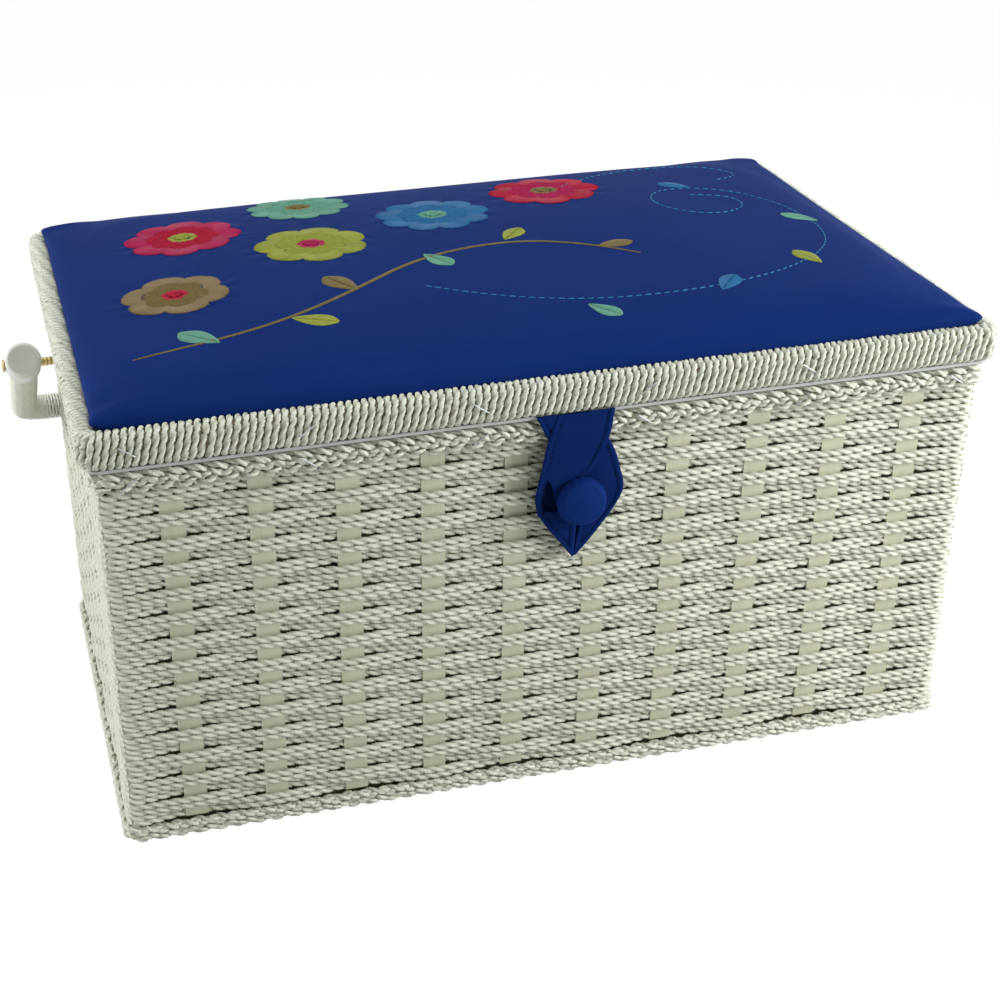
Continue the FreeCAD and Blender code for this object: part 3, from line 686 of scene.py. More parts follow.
def wound_edge(net, given):
    """One rope wound round the strips, all the way about the lid."""
    radius = given["Radius"]
    guide = rounded_frame(net, (given["Half width"] - radius) * 2.0, (given["Half depth"] - radius) * 2.0,
                          given["Corner"] - radius, 8)
    wide = given["Strip width"] - radius * 2.0
    section = rounded_frame(net, wide, given["Strip height"] - radius * 2.0, given["Strip round"], 4)
    round_trip = net.add("GeometryNodeCurveLength", {"Curve": guide})
    girth = net.add("GeometryNodeCurveLength", {"Curve": section})
    turns = net.math("ROUND", round_trip / given["Pitch"])
    loop = net.index() / turn_points
    whole = net.math("FLOOR", loop)
    uneven = net.noise(net.xyz(whole * 3.1, 0.0, 4.0), 1.0) - 0.5
    off = at_length(net, section, net.math("FRACT", loop) * girth)
    across, up, deep = net.numbers(off.out("Position"))
    place = net.math("FRACT", loop / turns + 1.0) * round_trip + uneven * winding_wander + up * given["Lean"]
    at = at_length(net, guide, place.max(0.0).min(round_trip))
    outward = net.vector("NORMALIZE", net.vector("CROSS_PRODUCT", at.out("Tangent"), (0.0, 0.0, 1.0)))
    slack = hashed(net, whole, 17) * winding_slack
    moved = net.vector("ADD", at.out("Position"), outward.times(across - wide * 0.5 - slack))
    moved = net.vector("ADD", moved, net.xyz(0.0, 0.0, given["Height"] + up))
    line = even_line(net, turns * turn_points)
    ring = net.add("GeometryNodeSetSplineCyclic", {"Geometry": line, "Cyclic": True})
    return twisted(net, moved_to(net, ring, moved), radius, rope_lay, uneven + 0.5)


band = grown("lid_winding", {
    "Half width": band_high.x, "Half depth": band_high.y, "Corner": lid_corner, "Radius": winding_radius,
    "Strip width": band_width, "Strip height": band_high.z - band_low.z, "Strip round": strip_round,
    "Height": (band_high.z + band_low.z) / 2, "Pitch": winding_pitch, "Lean": winding_lean,
}, rope, wound_edge)
fit(band, "lid", "rope", "lid_band")


# The pad: foam on the card with blue satin drawn over it and tucked in behind
# the wound edge. The foam holds it up in a low crown, and the rim keeps it down.
pad_voxel = 4.5 * mm
pad_pressure = 4.0
pad_reach = 2.2 * mm
fill_frames = 20
pad_edge = 7.0 * mm
pad_rounds = 24
pad_corner = 8.0 * mm
pad_square = 0.6
pad_skirt = 1.0 * mm
held_margin = 0.5 * mm
merge_distance = 0.01 * mm


def even_copy(name, node, voxel):
    """An even mesh of a soft solid, merged and remeshed."""
    mesh = nodes[node].data.copy()
    loose = bmesh.new()
    loose.from_mesh(mesh)
    bmesh.ops.remove_doubles(loose, verts=loose.verts, dist=merge_distance)
    loose.to_mesh(mesh)
    loose.free()
    piece = added(name, mesh)
    remesh = piece.modifiers.new("even", "REMESH")
    remesh.mode = "VOXEL"
    remesh.voxel_size = voxel
    baked(piece).data.materials.clear()
    return piece


def fill(piece, held, pressure, reach):
    """Blows the cloth out from its held points by a simulation, and moves no point further than reach."""
    before = [vertex.co.copy() for vertex in piece.data.vertices]
    group = piece.vertex_groups.new(name="held")
    group.add([i for i, place in enumerate(before) if held(place)], 1.0, "REPLACE")
    cloth = piece.modifiers.new("cloth", "CLOTH")
    cloth.settings.vertex_group_mass = "held"
    cloth.settings.use_pressure = True
    cloth.settings.uniform_pressure_force = pressure
    cloth.settings.effector_weights.gravity = 0.0
    cloth.point_cache.frame_end = fill_frames
    for number in range(1, fill_frames + 1):
        scene.frame_set(number)
    blown = piece.evaluated_get(bpy.context.evaluated_depsgraph_get()).data
    after = [vertex.co.copy() for vertex in blown.vertices]
    piece.modifiers.clear()
    piece.vertex_groups.clear()
    for vertex, place, moved in zip(piece.data.vertices, before, after):
        step = moved - place
        vertex.co = place + step * min(1.0, reach / max(step.length, 1e-9))
    scene.frame_set(1)


def ease_crown(piece, edge, rounds, corner, square):
    """Evens the crown inside the edge and draws the corners out square, as satin is pulled over foam."""
    half_x = max(abs(vertex.co.x) for vertex in piece.data.vertices)
    half_y = max(abs(vertex.co.y) for vertex in piece.data.vertices)
    shape = bmesh.new()
    shape.from_mesh(piece.data)
    top = [vert for vert in shape.verts if vert.co.z > band_high.z - pad_skirt
           and abs(vert.co.x) < half_x - edge and abs(vert.co.y) < half_y - edge]
    for number in range(rounds):
        bmesh.ops.smooth_vert(shape, verts=top, factor=0.5, use_axis_x=False, use_axis_y=False,
                              use_axis_z=True)
    for vert in shape.verts:
        across = abs(vert.co.x) - (half_x - corner)
        along = abs(vert.co.y) - (half_y - corner)
        if across > 0 and along > 0:
            out = (math.hypot(across, along) / max(across, along)) ** square
            vert.co.x = math.copysign(half_x - corner + across * out, vert.co.x)
            vert.co.y = math.copysign(half_y - corner + along * out, vert.co.y)
    shape.to_mesh(piece.data)
    shape.free()


def smooth_fabric(piece, finish):
    """One subdivision over a soft mesh, shaded smooth, in its fabric."""
    for face in piece.data.polygons:
        face.use_smooth = True
    rounder = piece.modifiers.new("rounder", "SUBSURF")
    rounder.levels = 1
    rounder.render_levels = 1
    piece.data.materials.append(finish)


rosettes = (
    (-101, 46, 22, 8, "pink", "red", "lime"), (-53, 70, 20, 10, "mint", "mint", "gold"),
    (-58, 16, 21, 7, "lime", "lime", "pink"), (-7, 38, 22, 9, "blue", "blue", "mint"),
    (43, 58, 22, 8, "red", "pink", "gold"), (-112, -16, 19, 6, "taupe", "gold", "red"),
)
pucker_reach = 8.0 * mm


def pad_shades(net):
    """Blue satin that puckers a little round each embroidered rosette."""
    colour, slubs = satin_colour(net)
    spot_x, spot_y, spot_z = net.numbers(place_of(net))
    uneven = net.noise(place_of(net), 90.0)
    height = cloth_height(net, slubs) * 0.05
    for x, y, radius, *rest in rosettes:
        across = spot_x - x * mm
        along = spot_y - y * mm
        far = net.math("SQRT", across * across + along * along)
        near = (1.0 - (far - radius * mm).abs() / pucker_reach).max(0.0)
        folds = (net.math("ARCTAN2", along, across) * 13.0 + uneven * 9.0).sin()
        height = height + near * near * folds * uneven
    return {"Base Color": colour, "Normal": bump(net, height, 0.8 * mm, 0.5)}


pad_satin = material("puckered_satin", satin_gloss, pad_shades)
pad = even_copy("satin_pad", "lid_padding", pad_voxel)
fill(pad, lambda place: place.z < band_high.z + held_margin, pad_pressure, pad_reach)
ease_crown(pad, pad_edge, pad_rounds, pad_corner, pad_square)
smooth_fabric(pad, pad_satin)
fit(pad, "lid", "satin", "lid_padding", "lid_satin_cover")


# The embroidery on the satin: plain rosettes with satin-stitched petals round a
# filled eye, a tapered stem with leaves and a scroll in running stitch.
stitch_sides = 6
stitch_rings = 5
# Painted sheen: stitches lying along this heading are painted lighter.
painted_sheen_heading = (0.5, 0.87, 0.0)
thread_radius = 0.26 * mm
filling_radius = 0.3 * mm
filling_length = 2.4 * mm
filling_rows = 0.55 * mm
filling_step = 2.1 * mm
knot_count = 18
knot_turn = 2.39996
knot_radius = 0.62 * mm
knot_length = 1.5 * mm
knot_lift = 0.25 * mm
rim_lift = 0.12 * mm
eye_lift = 0.1 * mm
rim_ring = (0.60, 1.0)
filled_to = 0.62
filled_from = 0.17
eye_ring = (0.15, 0.26)
knots_to = 0.13
ragged_ends = 0.5 * mm
line_lift = 0.05 * mm
leaf_thread = 0.28 * mm
leaf_lift = 0.08 * mm
leaf_tip = 0.5 * mm
thread_colours = {
    "pink": (0.50, 0.013, 0.100), "lime": (0.370, 0.420, 0.060), "mint": (0.165, 0.440, 0.315),
    "blue": (0.026, 0.180, 0.410), "red": (0.520, 0.008, 0.044), "taupe": (0.300, 0.220, 0.112),
    "gold": (0.240, 0.185, 0.060), "sky": (0.040, 0.270, 0.500),
}


def thread(name):
    """Shiny embroidery thread: each stitch its own random tone plus a painted sheen by the way it lies, with
    fine fibres.
    """
    def shades(net):
        fibres = net.noise(place_of(net), 2500.0)
        bright = (*thread_colours[name], 1)
        deep = (*(part * 0.45 for part in thread_colours[name]), 1)
        return {"Base Color": (net.stored("shade") * 0.7 + fibres * 0.3).mix(deep, bright),
                "Normal": bump(net, fibres, 0.04 * mm, 0.4)}
    return material("thread_" + name, {"Roughness": 0.45, "Specular IOR Level": 0.12}, shades)


threads = {name: thread(name) for name in thread_colours}


def join(net, parts):
    """Several shapes as one."""
    node = net.tree.nodes.new("GeometryNodeJoinGeometry")
    for part in parts:
        net.tree.links.new(part.socket, node.inputs["Geometry"])
    return Net(net.tree, node.outputs["Geometry"])


def shape_of(net, thing):
    """The shape of another object."""
    return net.add("GeometryNodeObjectInfo", {"Object": thing}).out("Geometry")


def sewn(net, given, points, heading, length, radius, colour, lift=0.0):
    """Sets one stitch on the pad below each point, along a heading."""
    above = net.vector("ADD", net.add("GeometryNodeInputPosition"), (0.0, 0.0, 0.3))
    hit = net.add("GeometryNodeRaycast", {
        "Target Geometry": shape_of(net, given["Pad"]), "Source Position": above,
        "Ray Direction": (0.0, 0.0, -1.0), "Ray Length": 1.0})
    normal = hit.out("Hit Normal")
    on_pad = net.vector("ADD", hit.out("Hit Position"), normal.times(lift))
    into = normal.times(net.vector("DOT_PRODUCT", heading, normal).out("Value"))
    flat = net.vector("SUBTRACT", heading, into)
    turn = net.add("FunctionNodeAlignRotationToVector", {"Vector": flat}, axis="Z")
    stitch = net.add("GeometryNodeMeshUVSphere", {
        "Segments": stitch_sides, "Rings": stitch_rings, "Radius": 1.0})
    stitches = net.add("GeometryNodeInstanceOnPoints", {
        "Points": moved_to(net, points, on_pad), "Instance": stitch, "Rotation": turn,
        "Scale": net.xyz(radius, radius, length * 0.5)})
    # Painted sheen: each stitch is painted lighter the more it lies along one fixed heading, on top of its
    # own random tone.
    lie = net.vector("DOT_PRODUCT", heading, painted_sheen_heading).out("Value")
    own = hashed(net, net.index(), 7) * 0.55 + lie.abs() * 0.45
    shaded = store(net, stitches, "shade", own, "INSTANCE")
    real = smoothed(net, net.add("GeometryNodeRealizeInstances", {"Geometry": shaded}))
    return net.add("GeometryNodeSetMaterial", {"Geometry": real, "Material": threads[colour]})


def row_of(net, count, x, y):
    """Points at x and y, which are formulas on the index."""
    return moved_to(net, row_of_points(net, count), net.xyz(x, y, 0.0))


def rosette(rim_colour, fill_colour, eye_colour):
    """A builder for one rosette in three threads."""
    def build(net, given):
        radius = given["Radius"]
        petals = given["Petals"]

        def outline(angle, share):
            lobe = net.math("SQRT", (angle * petals * 0.5 + given["Turn"]).cos().abs())
            return radius * share * (1.0 - given["Scallop"] + given["Scallop"] * lobe)

        def ring(stitches, inner_share, outer_share, colour, seed, lift):
            index = net.index()
            angle = index / stitches * (2 * math.pi)
            ragged = (hashed(net, index, seed) - 0.5) * ragged_ends
            inner = outline(angle, inner_share)
            outer = outline(angle, outer_share) + ragged
            middle = (inner + outer) * 0.5
            points = row_of(net, stitches, given["X"] + angle.cos() * middle,
                            given["Y"] + angle.sin() * middle)
            heading = net.xyz(angle.cos(), angle.sin(), 0.0)
            return sewn(net, given, points, heading, outer - inner, thread_radius, colour, lift)

        rows = net.add("GeometryNodeMeshGrid", {
            "Size X": radius * 2.0, "Size Y": radius * 2.0,
            "Vertices X": radius * 2.0 / filling_step, "Vertices Y": radius * 2.0 / filling_rows})
        x, y, z = net.numbers(net.add("GeometryNodeInputPosition"))
        row = net.math("ROUND", (y + radius) / filling_rows)
        slide = (net.math("MODULO", row, 3.0) * 0.7 + hashed(net, net.index(), 3) * 0.5) * mm
        x = x + slide
        far = net.math("SQRT", x * x + y * y)
        bearing = net.math("ARCTAN2", y, x)
        outside = (far - outline(bearing, filled_to)).above(0.0)
        kept = net.add("GeometryNodeDeleteGeometry", {
            "Geometry": rows, "Selection": outside.max((radius * filled_from - far).above(0.0))})
        moved = net.add("GeometryNodeSetPosition", {
            "Geometry": kept, "Offset": net.xyz(slide + given["X"], given["Y"], 0.0)})
        heading = net.xyz(1.0, (hashed(net, net.index(), 5) - 0.5) * 0.3, 0.0)
        filled = sewn(net, given, moved, heading, filling_length, filling_radius, fill_colour)

        spiral = net.index() * knot_turn
        out = net.math("SQRT", net.index() / knot_count) * radius * knots_to
        knots = row_of(net, knot_count, given["X"] + spiral.cos() * out, given["Y"] + spiral.sin() * out)
        eye = sewn(net, given, knots, net.xyz(1.0, 0.0, 0.0), knot_length, knot_radius, eye_colour, knot_lift)
        return join(net, [ring(given["Rim stitches"], *rim_ring, rim_colour, 21, rim_lift), filled,
                          ring(given["Eye stitches"], *eye_ring, eye_colour, 22, eye_lift), eye])
    return build


def embroider(name, sizes, build):
    """One embroidered motif, sewn to the lid's satin."""
    fit(grown(name, {"Pad": pad, **sizes}, None, build), "lid", "satin")


for number, (x, y, radius, petals, rim_colour, fill_colour, eye_colour) in enumerate(rosettes, 1):
    embroider("rosette_%d" % number, {
        "X": x * mm, "Y": y * mm, "Radius": radius * mm, "Petals": float(petals), "Turn": number * 0.7,
        "Scallop": 0.2, "Rim stitches": int(radius * 14), "Eye stitches": int(radius * 4.5),
    }, rosette(rim_colour, fill_colour, eye_colour))


def guide_line(points):
    """A smooth line over the pad, for stitches to follow."""
    curve = bpy.data.curves.new("guide", "CURVE")
    curve.dimensions = "3D"
    spline = curve.splines.new("NURBS")
    spline.points.add(len(points) - 1)
    for point, (x, y) in zip(spline.points, points):
        point.co = (x * mm, y * mm, 0, 1)
    spline.order_u = 4
    spline.use_endpoint_u = True
    curve.resolution_u = 24
    return added("guide", curve)


def stitched_line(colour):
    """A builder for one line of stitches along a guide, tapered towards both ends where asked."""
    def build(net, given):
        even = net.add("GeometryNodeResampleCurve", {
            "Curve": shape_of(net, given["Guide"]), "Length": given["Pitch"]}, mode="LENGTH")
        x, y, z = net.numbers(net.add("GeometryNodeInputTangent"))
        lean = given["Lean"]
        heading = net.xyz(x * lean.cos() - y * lean.sin(), x * lean.sin() + y * lean.cos(), 0.0)
        share = net.add("GeometryNodeSplineParameter").out("Factor")
        belly = net.math("SQRT", (share * math.pi).sin().abs()) * given["Taper"] + (1.0 - given["Taper"])
        return sewn(net, given, even, heading, given["Stitch"] * belly, given["Thread"], colour, line_lift)
    return build


scroll = [(-28, -40), (0, -62), (44, -70), (92, -62), (128, -34), (132, 10), (112, 44), (82, 46), (74, 22),
          (92, 4), (114, 14), (112, 32), (96, 34)]
stem = [(-132, -66), (-96, -62), (-60, -44), (-30, -14), (4, -2), (30, -8), (52, -30)]
tendril = [(52, 62), (70, 78), (100, 84), (124, 74), (128, 60), (116, 56)]
running = {"Pitch": 3.3 * mm, "Stitch": 2.5 * mm, "Lean": 0.12, "Taper": 0.0, "Thread": 0.3 * mm}
slanting = {"Pitch": 0.5 * mm, "Stitch": 3.4 * mm, "Lean": 0.6, "Taper": 0.75, "Thread": 0.28 * mm}
lines = (("scroll_line", scroll, running, "sky"), ("stem_line", stem, slanting, "gold"),
         ("tendril_line", tendril, running, "sky"))
for name, points, stitch, colour in lines:
    guide = guide_line(points)
    embroider(name, {"Guide": guide, **stitch}, stitched_line(colour))
    bpy.data.objects.remove(guide)


def leaf(colour):
    """A builder for one leaf: slanting stitches on both sides of a middle vein."""
    def build(net, given):
        index = net.index()
        half = net.math("FLOOR", index / 2.0)
        side = (index - half * 2.0) * 2.0 - 1.0
        share = half * 2.0 / given["Stitches"]
        wide = (net.math("POWER", share, 0.75) * math.pi).sin() * given["Width"] * 0.5 + leaf_tip
        along = share * given["Length"] + wide * 0.45
        over = wide * 0.5 * side
        c = given["Heading"].cos()
        s = given["Heading"].sin()
        points = row_of(net, given["Stitches"], given["X"] + along * c - over * s,
                        given["Y"] + along * s + over * c)
        lean = given["Heading"] + side * 0.85
        heading = net.xyz(lean.cos(), lean.sin(), 0.0)
        return sewn(net, given, points, heading, wide * 1.35, leaf_thread, colour, leaf_lift)
    return build


leaves = (
    (-104, -64, 2.3, 17, "mint"), (-78, -53, -0.5, 16, "lime"), (-52, -36, 2.1, 17, "gold"),
    (-22, -9, -1.1, 15, "mint"), (10, -2, 0.9, 14, "lime"), (40, -19, 0.1, 13, "gold"),
    (20, -69, -0.9, 13, "mint"), (68, -69, 0.9, 14, "blue"), (112, -52, 1.9, 14, "lime"),
    (132, -4, 2.5, 14, "mint"), (99, 45, 2.4, 13, "blue"),
)
for number, (x, y, heading, length, colour) in enumerate(leaves, 1):
    embroider("leaf_%d" % number, {
        "X": x * mm, "Y": y * mm, "Heading": heading, "Length": length * mm, "Width": length * 0.5 * mm,
        "Stitches": length * 5}, leaf(colour))


# The carrying handle: a cane bail wound close with a finer paper cord from cap
# to cap, which swings on a brass screw through each end.
pivot = Vector(next(joint["pos_m"] for joint in frame["joints"] if joint["name"] == "handle_swing"))
wrap_low, wrap_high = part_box("handle_wrap")
wrap_radius = 5.25 * mm
handle_bend = 9.0 * mm
handle_half_width = 165.0 * mm
winding_start = 5.6 * mm
handle_rope = 0.62 * mm
handle_pitch = 1.17 * mm
handle_turn_points = 12.0
cord_wander = 0.3 * mm
bar_place = Vector((0, wrap_high.y - wrap_radius, wrap_low.z + wrap_radius))
arm = Vector((0, bar_place.y - pivot.y, bar_place.z - pivot.z)).normalized()


def bent_path(net, half, start, bar, radius, count):
    """An open path from a start over a straight bar to the start's mirror image in X, with rounded bends."""
    corners = {"Point 1": net.xyz(half, *start), "Point 2": net.xyz(half, *bar),
               "Point 3": net.xyz(half * -1.0, *bar), "Point 4": net.xyz(half * -1.0, *start)}
    sharp = net.add("GeometryNodeCurvePrimitiveQuadrilateral", corners, mode="POINTS")
    path = net.add("GeometryNodeSetSplineCyclic", {"Geometry": sharp, "Cyclic": False})
    return net.add("GeometryNodeFilletCurve", {"Curve": path, "Radius": radius, "Count": count}, mode="POLY")


def wound_bail(net, given):
    """One cord wound round the bail from the cap at +X to the cap at -X."""
    guide = bent_path(net, given["Half width"], (given["Start Y"], given["Start Z"]),
                      (given["Bar Y"], given["Bar Z"]), given["Bend"], 16)
    length = net.add("GeometryNodeCurveLength", {"Curve": guide})
    turns = net.math("ROUND", length / given["Pitch"])
    loop = net.index() / handle_turn_points
    uneven = net.noise(net.xyz(net.math("FLOOR", loop) * 2.7, 1.0, 6.0), 1.0) - 0.5
    at = at_length(net, guide, (loop / turns * length + uneven * cord_wander).max(0.0).min(length))
    plane = net.xyz(0.0, given["Plane Y"], given["Plane Z"])
    inward = net.vector("CROSS_PRODUCT", at.out("Tangent"), plane)
    radius = given["Radius"] - given["Rope"]
    angle = loop * (2 * math.pi)
    off = net.vector("ADD", plane.times(angle.cos() * radius), inward.times(angle.sin() * radius))
    line = even_line(net, turns * handle_turn_points)
    wound = moved_to(net, line, net.vector("ADD", at.out("Position"), off))
    return twisted(net, wound, given["Rope"], rope_lay, uneven + 0.5)


def cord_shades(net):
    """The handle's finer, closer wound paper cord, painted paler as painted light, with painted shade in its
    grooves.
    """
    groove = net.stored("groove")
    fibres = net.noise(place_of(net), 900.0, 3.0)
    # Painted light: the cord is painted near white, paler than the wall rope, so the handle's shaded side
    # reads light.
    paper = (fibres * 0.6 + net.stored("shade") * 0.3).mix((0.91, 0.905, 0.81, 1), (0.985, 0.98, 0.91, 1))
    # Painted shade: the grooves between the plies are painted darker.
    return {"Base Color": (groove * 0.16).mix(paper, (0.46, 0.44, 0.33, 1)), "Roughness": 0.5 + fibres * 0.3,
            "Normal": bump(net, fibres - groove, 0.12 * mm, 0.5)}


cord = material("paper_cord", {"Specular IOR Level": 0.4}, cord_shades)
start = pivot + arm * winding_start
winding = grown("handle_winding", {
    "Half width": handle_half_width, "Start Y": start.y, "Start Z": start.z, "Bar Y": bar_place.y,
    "Bar Z": bar_place.z, "Plane Y": -arm.z, "Plane Z": arm.y, "Bend": handle_bend, "Pitch": handle_pitch,
    "Radius": wrap_radius, "Rope": handle_rope,
}, cord, wound_bail)
fit(winding, "handle", "cord", "handle_wrap")
paint("handle_core", cane)


# The handle's ends: white moulded caps with a soft rim, pressed over the cane and
# the first turns of the winding.
cap_radius = 6.35 * mm
cap_length = 14.0 * mm
cap_beyond_pivot = 8.0 * mm
cap_round = 1.3 * mm
cap_bore = 4.1 * mm
cap_floor = cap_length * 0.3
cap_face_edge = 1.0 * mm
cap_face_depth = 0.5 * mm


def beside_pivot(x):
    """A place on the handle's axis."""
    return Vector((x, pivot.y, pivot.z))


def solid(name, shape, finish=None):
    """A shape as an object in the scene."""
    mesh = bpy.data.meshes.new(name)
    shape.to_mesh(mesh)
    shape.free()
    if finish:
        mesh.materials.append(finish)
    return added(name, mesh)


def smooth_solid(name, shape, finish):
    """A shape as an object, with its faces turned outward and shaded smooth."""
    bmesh.ops.recalc_face_normals(shape, faces=shape.faces)
    for face in shape.faces:
        face.smooth = True
    return solid(name, shape, finish)


def turned(name, profile, along, centre, finish, sides=64):
    """A turned piece: (distance, radius) points spun about a line from centre; radius 0 closes an end."""
    along = along.normalized()
    side = along.orthogonal().normalized()
    other = along.cross(side)
    shape = bmesh.new()
    rings = []
    for distance, radius in profile:
        middle = centre + along * distance
        if radius == 0:
            rings.append([shape.verts.new(middle)])
            continue
        ring = []
        for i in range(sides):
            angle = 2 * math.pi * i / sides
            ring.append(shape.verts.new(middle + (side * math.cos(angle) + other * math.sin(angle)) * radius))
        rings.append(ring)
    for first, second in zip(rings[:-1], rings[1:]):
        for i in range(sides):
            j = (i + 1) % sides
            corners = (ring[k % len(ring)] for ring, k in ((first, i), (first, j), (second, j), (second, i)))
            shape.faces.new(list(dict.fromkeys(corners)))
    return smooth_solid(name, shape, finish)


def rounded_edge(distance, radius, edge, steps=5):
    """Profile points of a quarter round from a flat end at distance out to a barrel's radius."""
    points = []
    for i in range(steps + 1):
        angle = math.pi / 2 * i / steps
        points.append((distance + edge * (1 - math.sin(angle)), radius - edge * (1 - math.cos(angle))))
    return points[::-1]


def merged(name, pieces):
    """Several pieces of one body as one mesh."""
    shape = bmesh.new()
    finish = pieces[0].data.materials[0]
    for piece in pieces:
        shape.from_mesh(piece.data)
        bpy.data.objects.remove(piece)
    return solid(name, shape, finish)


def cap_shades(net):
    """White moulded plastic with a faint orange-peel and handling marks, and painted shade greying the flat
    end.
    """
    peel = net.noise(place_of(net), 1100.0)
    marks = net.noise(place_of(net), 260.0, 4.0)
    barrel = marks.mix((0.70, 0.72, 0.68, 1), (0.84, 0.85, 0.82, 1))
    # Painted shade: the marked flat end is painted greyer than the barrel.
    colour = (net.stored("face") * 0.9).mix(barrel, (0.54, 0.57, 0.50, 1))
    return {"Base Color": colour, "Roughness": 0.34 + marks * 0.16,
            "Normal": bump(net, peel, 0.03 * mm, 0.4)}


cap_plastic = material("white_cap_plastic", {"Specular IOR Level": 0.4}, cap_shades)
caps = []
for side in (1, -1):
    outer_end = beside_pivot(side * handle_half_width) - arm * cap_beyond_pivot
    profile = [(0.25 * mm, 0), (0.12 * mm, cap_radius * 0.55)] + rounded_edge(0.0, cap_radius, cap_round)
    for back_from_end, in_from_barrel in ((2.2, 0.12), (2.0, 0.3), (0.5, 0.3), (0.0, 0.7)):
        profile.append((cap_length - back_from_end * mm, cap_radius - in_from_barrel * mm))
    profile += [(cap_length, cap_bore), (cap_floor, cap_bore - 0.1 * mm), (cap_floor, 0)]
    caps.append(turned("cap", profile, arm, outer_end, cap_plastic))
caps = merged("end_caps", caps)
# Marks the flat end inside each cap's rim, where the cap's material paints shade.
face = caps.data.attributes.new("face", "FLOAT", "POINT")
for vertex, mark in zip(caps.data.vertices, face.data):
    off = vertex.co - beside_pivot(math.copysign(handle_half_width, vertex.co.x))
    down = off.dot(arm)
    far = (off - arm * down).length
    mark.value = float(down < cap_face_depth - cap_beyond_pivot and far < cap_radius - cap_face_edge)
fit(caps, "handle", "cap_plastic", "handle_caps")


# The pivot screws: threaded brass with a domed, slotted head, one through each cap
# of the handle and the end wall behind it, and held by a nut inside the basket.
screw_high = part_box("handle_screws")[1]
screw_radius = 1.5 * mm
head_radius = 2.2 * mm
head_depth = 1.0 * mm
head_below_tip = 1.25 * mm
screw_break = 0.3 * mm
head_break = 0.2 * mm
head_barrel = 0.6 * mm
slot_width = 0.7 * mm
slot_depth = 0.7 * mm
slot_turn = math.radians(28.0)
thread_from = 3.0 * mm
thread_pitch = 1.4 * mm
thread_width = 0.5 * mm
thread_depth = 0.22 * mm
thread_end = 1.0 * mm
past_nut = 2.9 * mm


def cut_out(piece, block):
    """Takes a block out of a piece."""
    cut = piece.modifiers.new("slot", "BOOLEAN")
    cut.object = block
    cut.operation = "DIFFERENCE"
    cut.solver = "EXACT"
    baked(piece)
    bpy.data.objects.remove(block)


# Drawn brass with fine lathe lines and warm tarnish, and plated steel with dull patches.
brass = mottled("drawn_brass", {"Metallic": 1.0}, (0.36, 0.26, 0.09), (0.68, 0.54, 0.24),
                clouds=(160.0, 3.0), grain=((5000.0, 250.0, 250.0),), share=1.0, relief=(0.03 * mm, 0.5),
                dull=(0.22, 0.25))
steel = mottled("plated_steel", {"Metallic": 1.0}, (0.25, 0.28, 0.30), (0.50, 0.53, 0.55),
                clouds=(300.0, 3.0), grain=(3000.0, 1.0), share=1.0, relief=(0.02 * mm, 0.4),
                dull=(0.3, 0.25))
inner_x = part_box("handle_nuts")[1].x - past_nut
tip_x = screw_high.x - head_below_tip
head = tip_x - inner_x - head_depth
screws = []
for side in (1, -1):
    profile = [(0, 0), (0, screw_radius - screw_break), (screw_break, screw_radius)]
    groove = thread_from
    while groove < head - thread_end:
        profile += [(groove, screw_radius), (groove + thread_width / 2, screw_radius - thread_depth),
                    (groove + thread_width, screw_radius)]
        groove += thread_pitch
    profile += [(head, screw_radius), (head, head_radius - head_break), (head + head_break, head_radius)]
    for i in range(6):
        angle = math.pi / 2 * i / 6
        rise = head_barrel + (head_depth - head_barrel) * math.sin(angle)
        profile.append((head + rise, head_radius * math.cos(angle)))
    profile.append((head + head_depth, 0))
    screw = turned("screw", profile, Vector((side, 0, 0)), beside_pivot(side * inner_x), brass, 32)
    block = bmesh.new()
    bmesh.ops.create_cube(block, size=1.0)
    bmesh.ops.scale(block, vec=(slot_depth * 2, slot_width, head_radius * 3), verts=block.verts)
    bmesh.ops.rotate(block, matrix=Matrix.Rotation(slot_turn * side, 3, "X"), verts=block.verts)
    bmesh.ops.translate(block, vec=beside_pivot(side * tip_x), verts=block.verts)
    cut_out(screw, solid("slot", block))
    screws.append(screw)
fit(merged("pivot_screws", screws), "root", "brass", "handle_screws")


# The washers: clear plastic, a little milky, one on each screw between the plait and
# the cap. The steel nuts hold the screws from inside the wall.
clear_plastic = mottled("clear_washer_plastic", {"Roughness": 0.12, "Transmission Weight": 0.75, "IOR": 1.46},
                        (0.80, 0.82, 0.80), (0.93, 0.94, 0.93), clouds=(500.0,), grain=(500.0,), share=1.0,
                        relief=(0.05 * mm, 0.3))
washer_radius = 3.8 * mm
washer_depth = 0.9 * mm
washer_break = 0.3 * mm
washers = []
for side in (1, -1):
    profile = [(0, screw_radius), (0, washer_radius - washer_break), (washer_break, washer_radius),
               (washer_depth - washer_break, washer_radius), (washer_depth, washer_radius - washer_break),
               (washer_depth, screw_radius), (0, screw_radius)]
    inner_face = beside_pivot(side * rim_half.x)
    washers.append(turned("washer", profile, Vector((side, 0, 0)), inner_face, clear_plastic, 40))
fit(merged("clear_washers", washers), "root", "cap_plastic", "wall_washers")
paint("handle_nuts", steel)


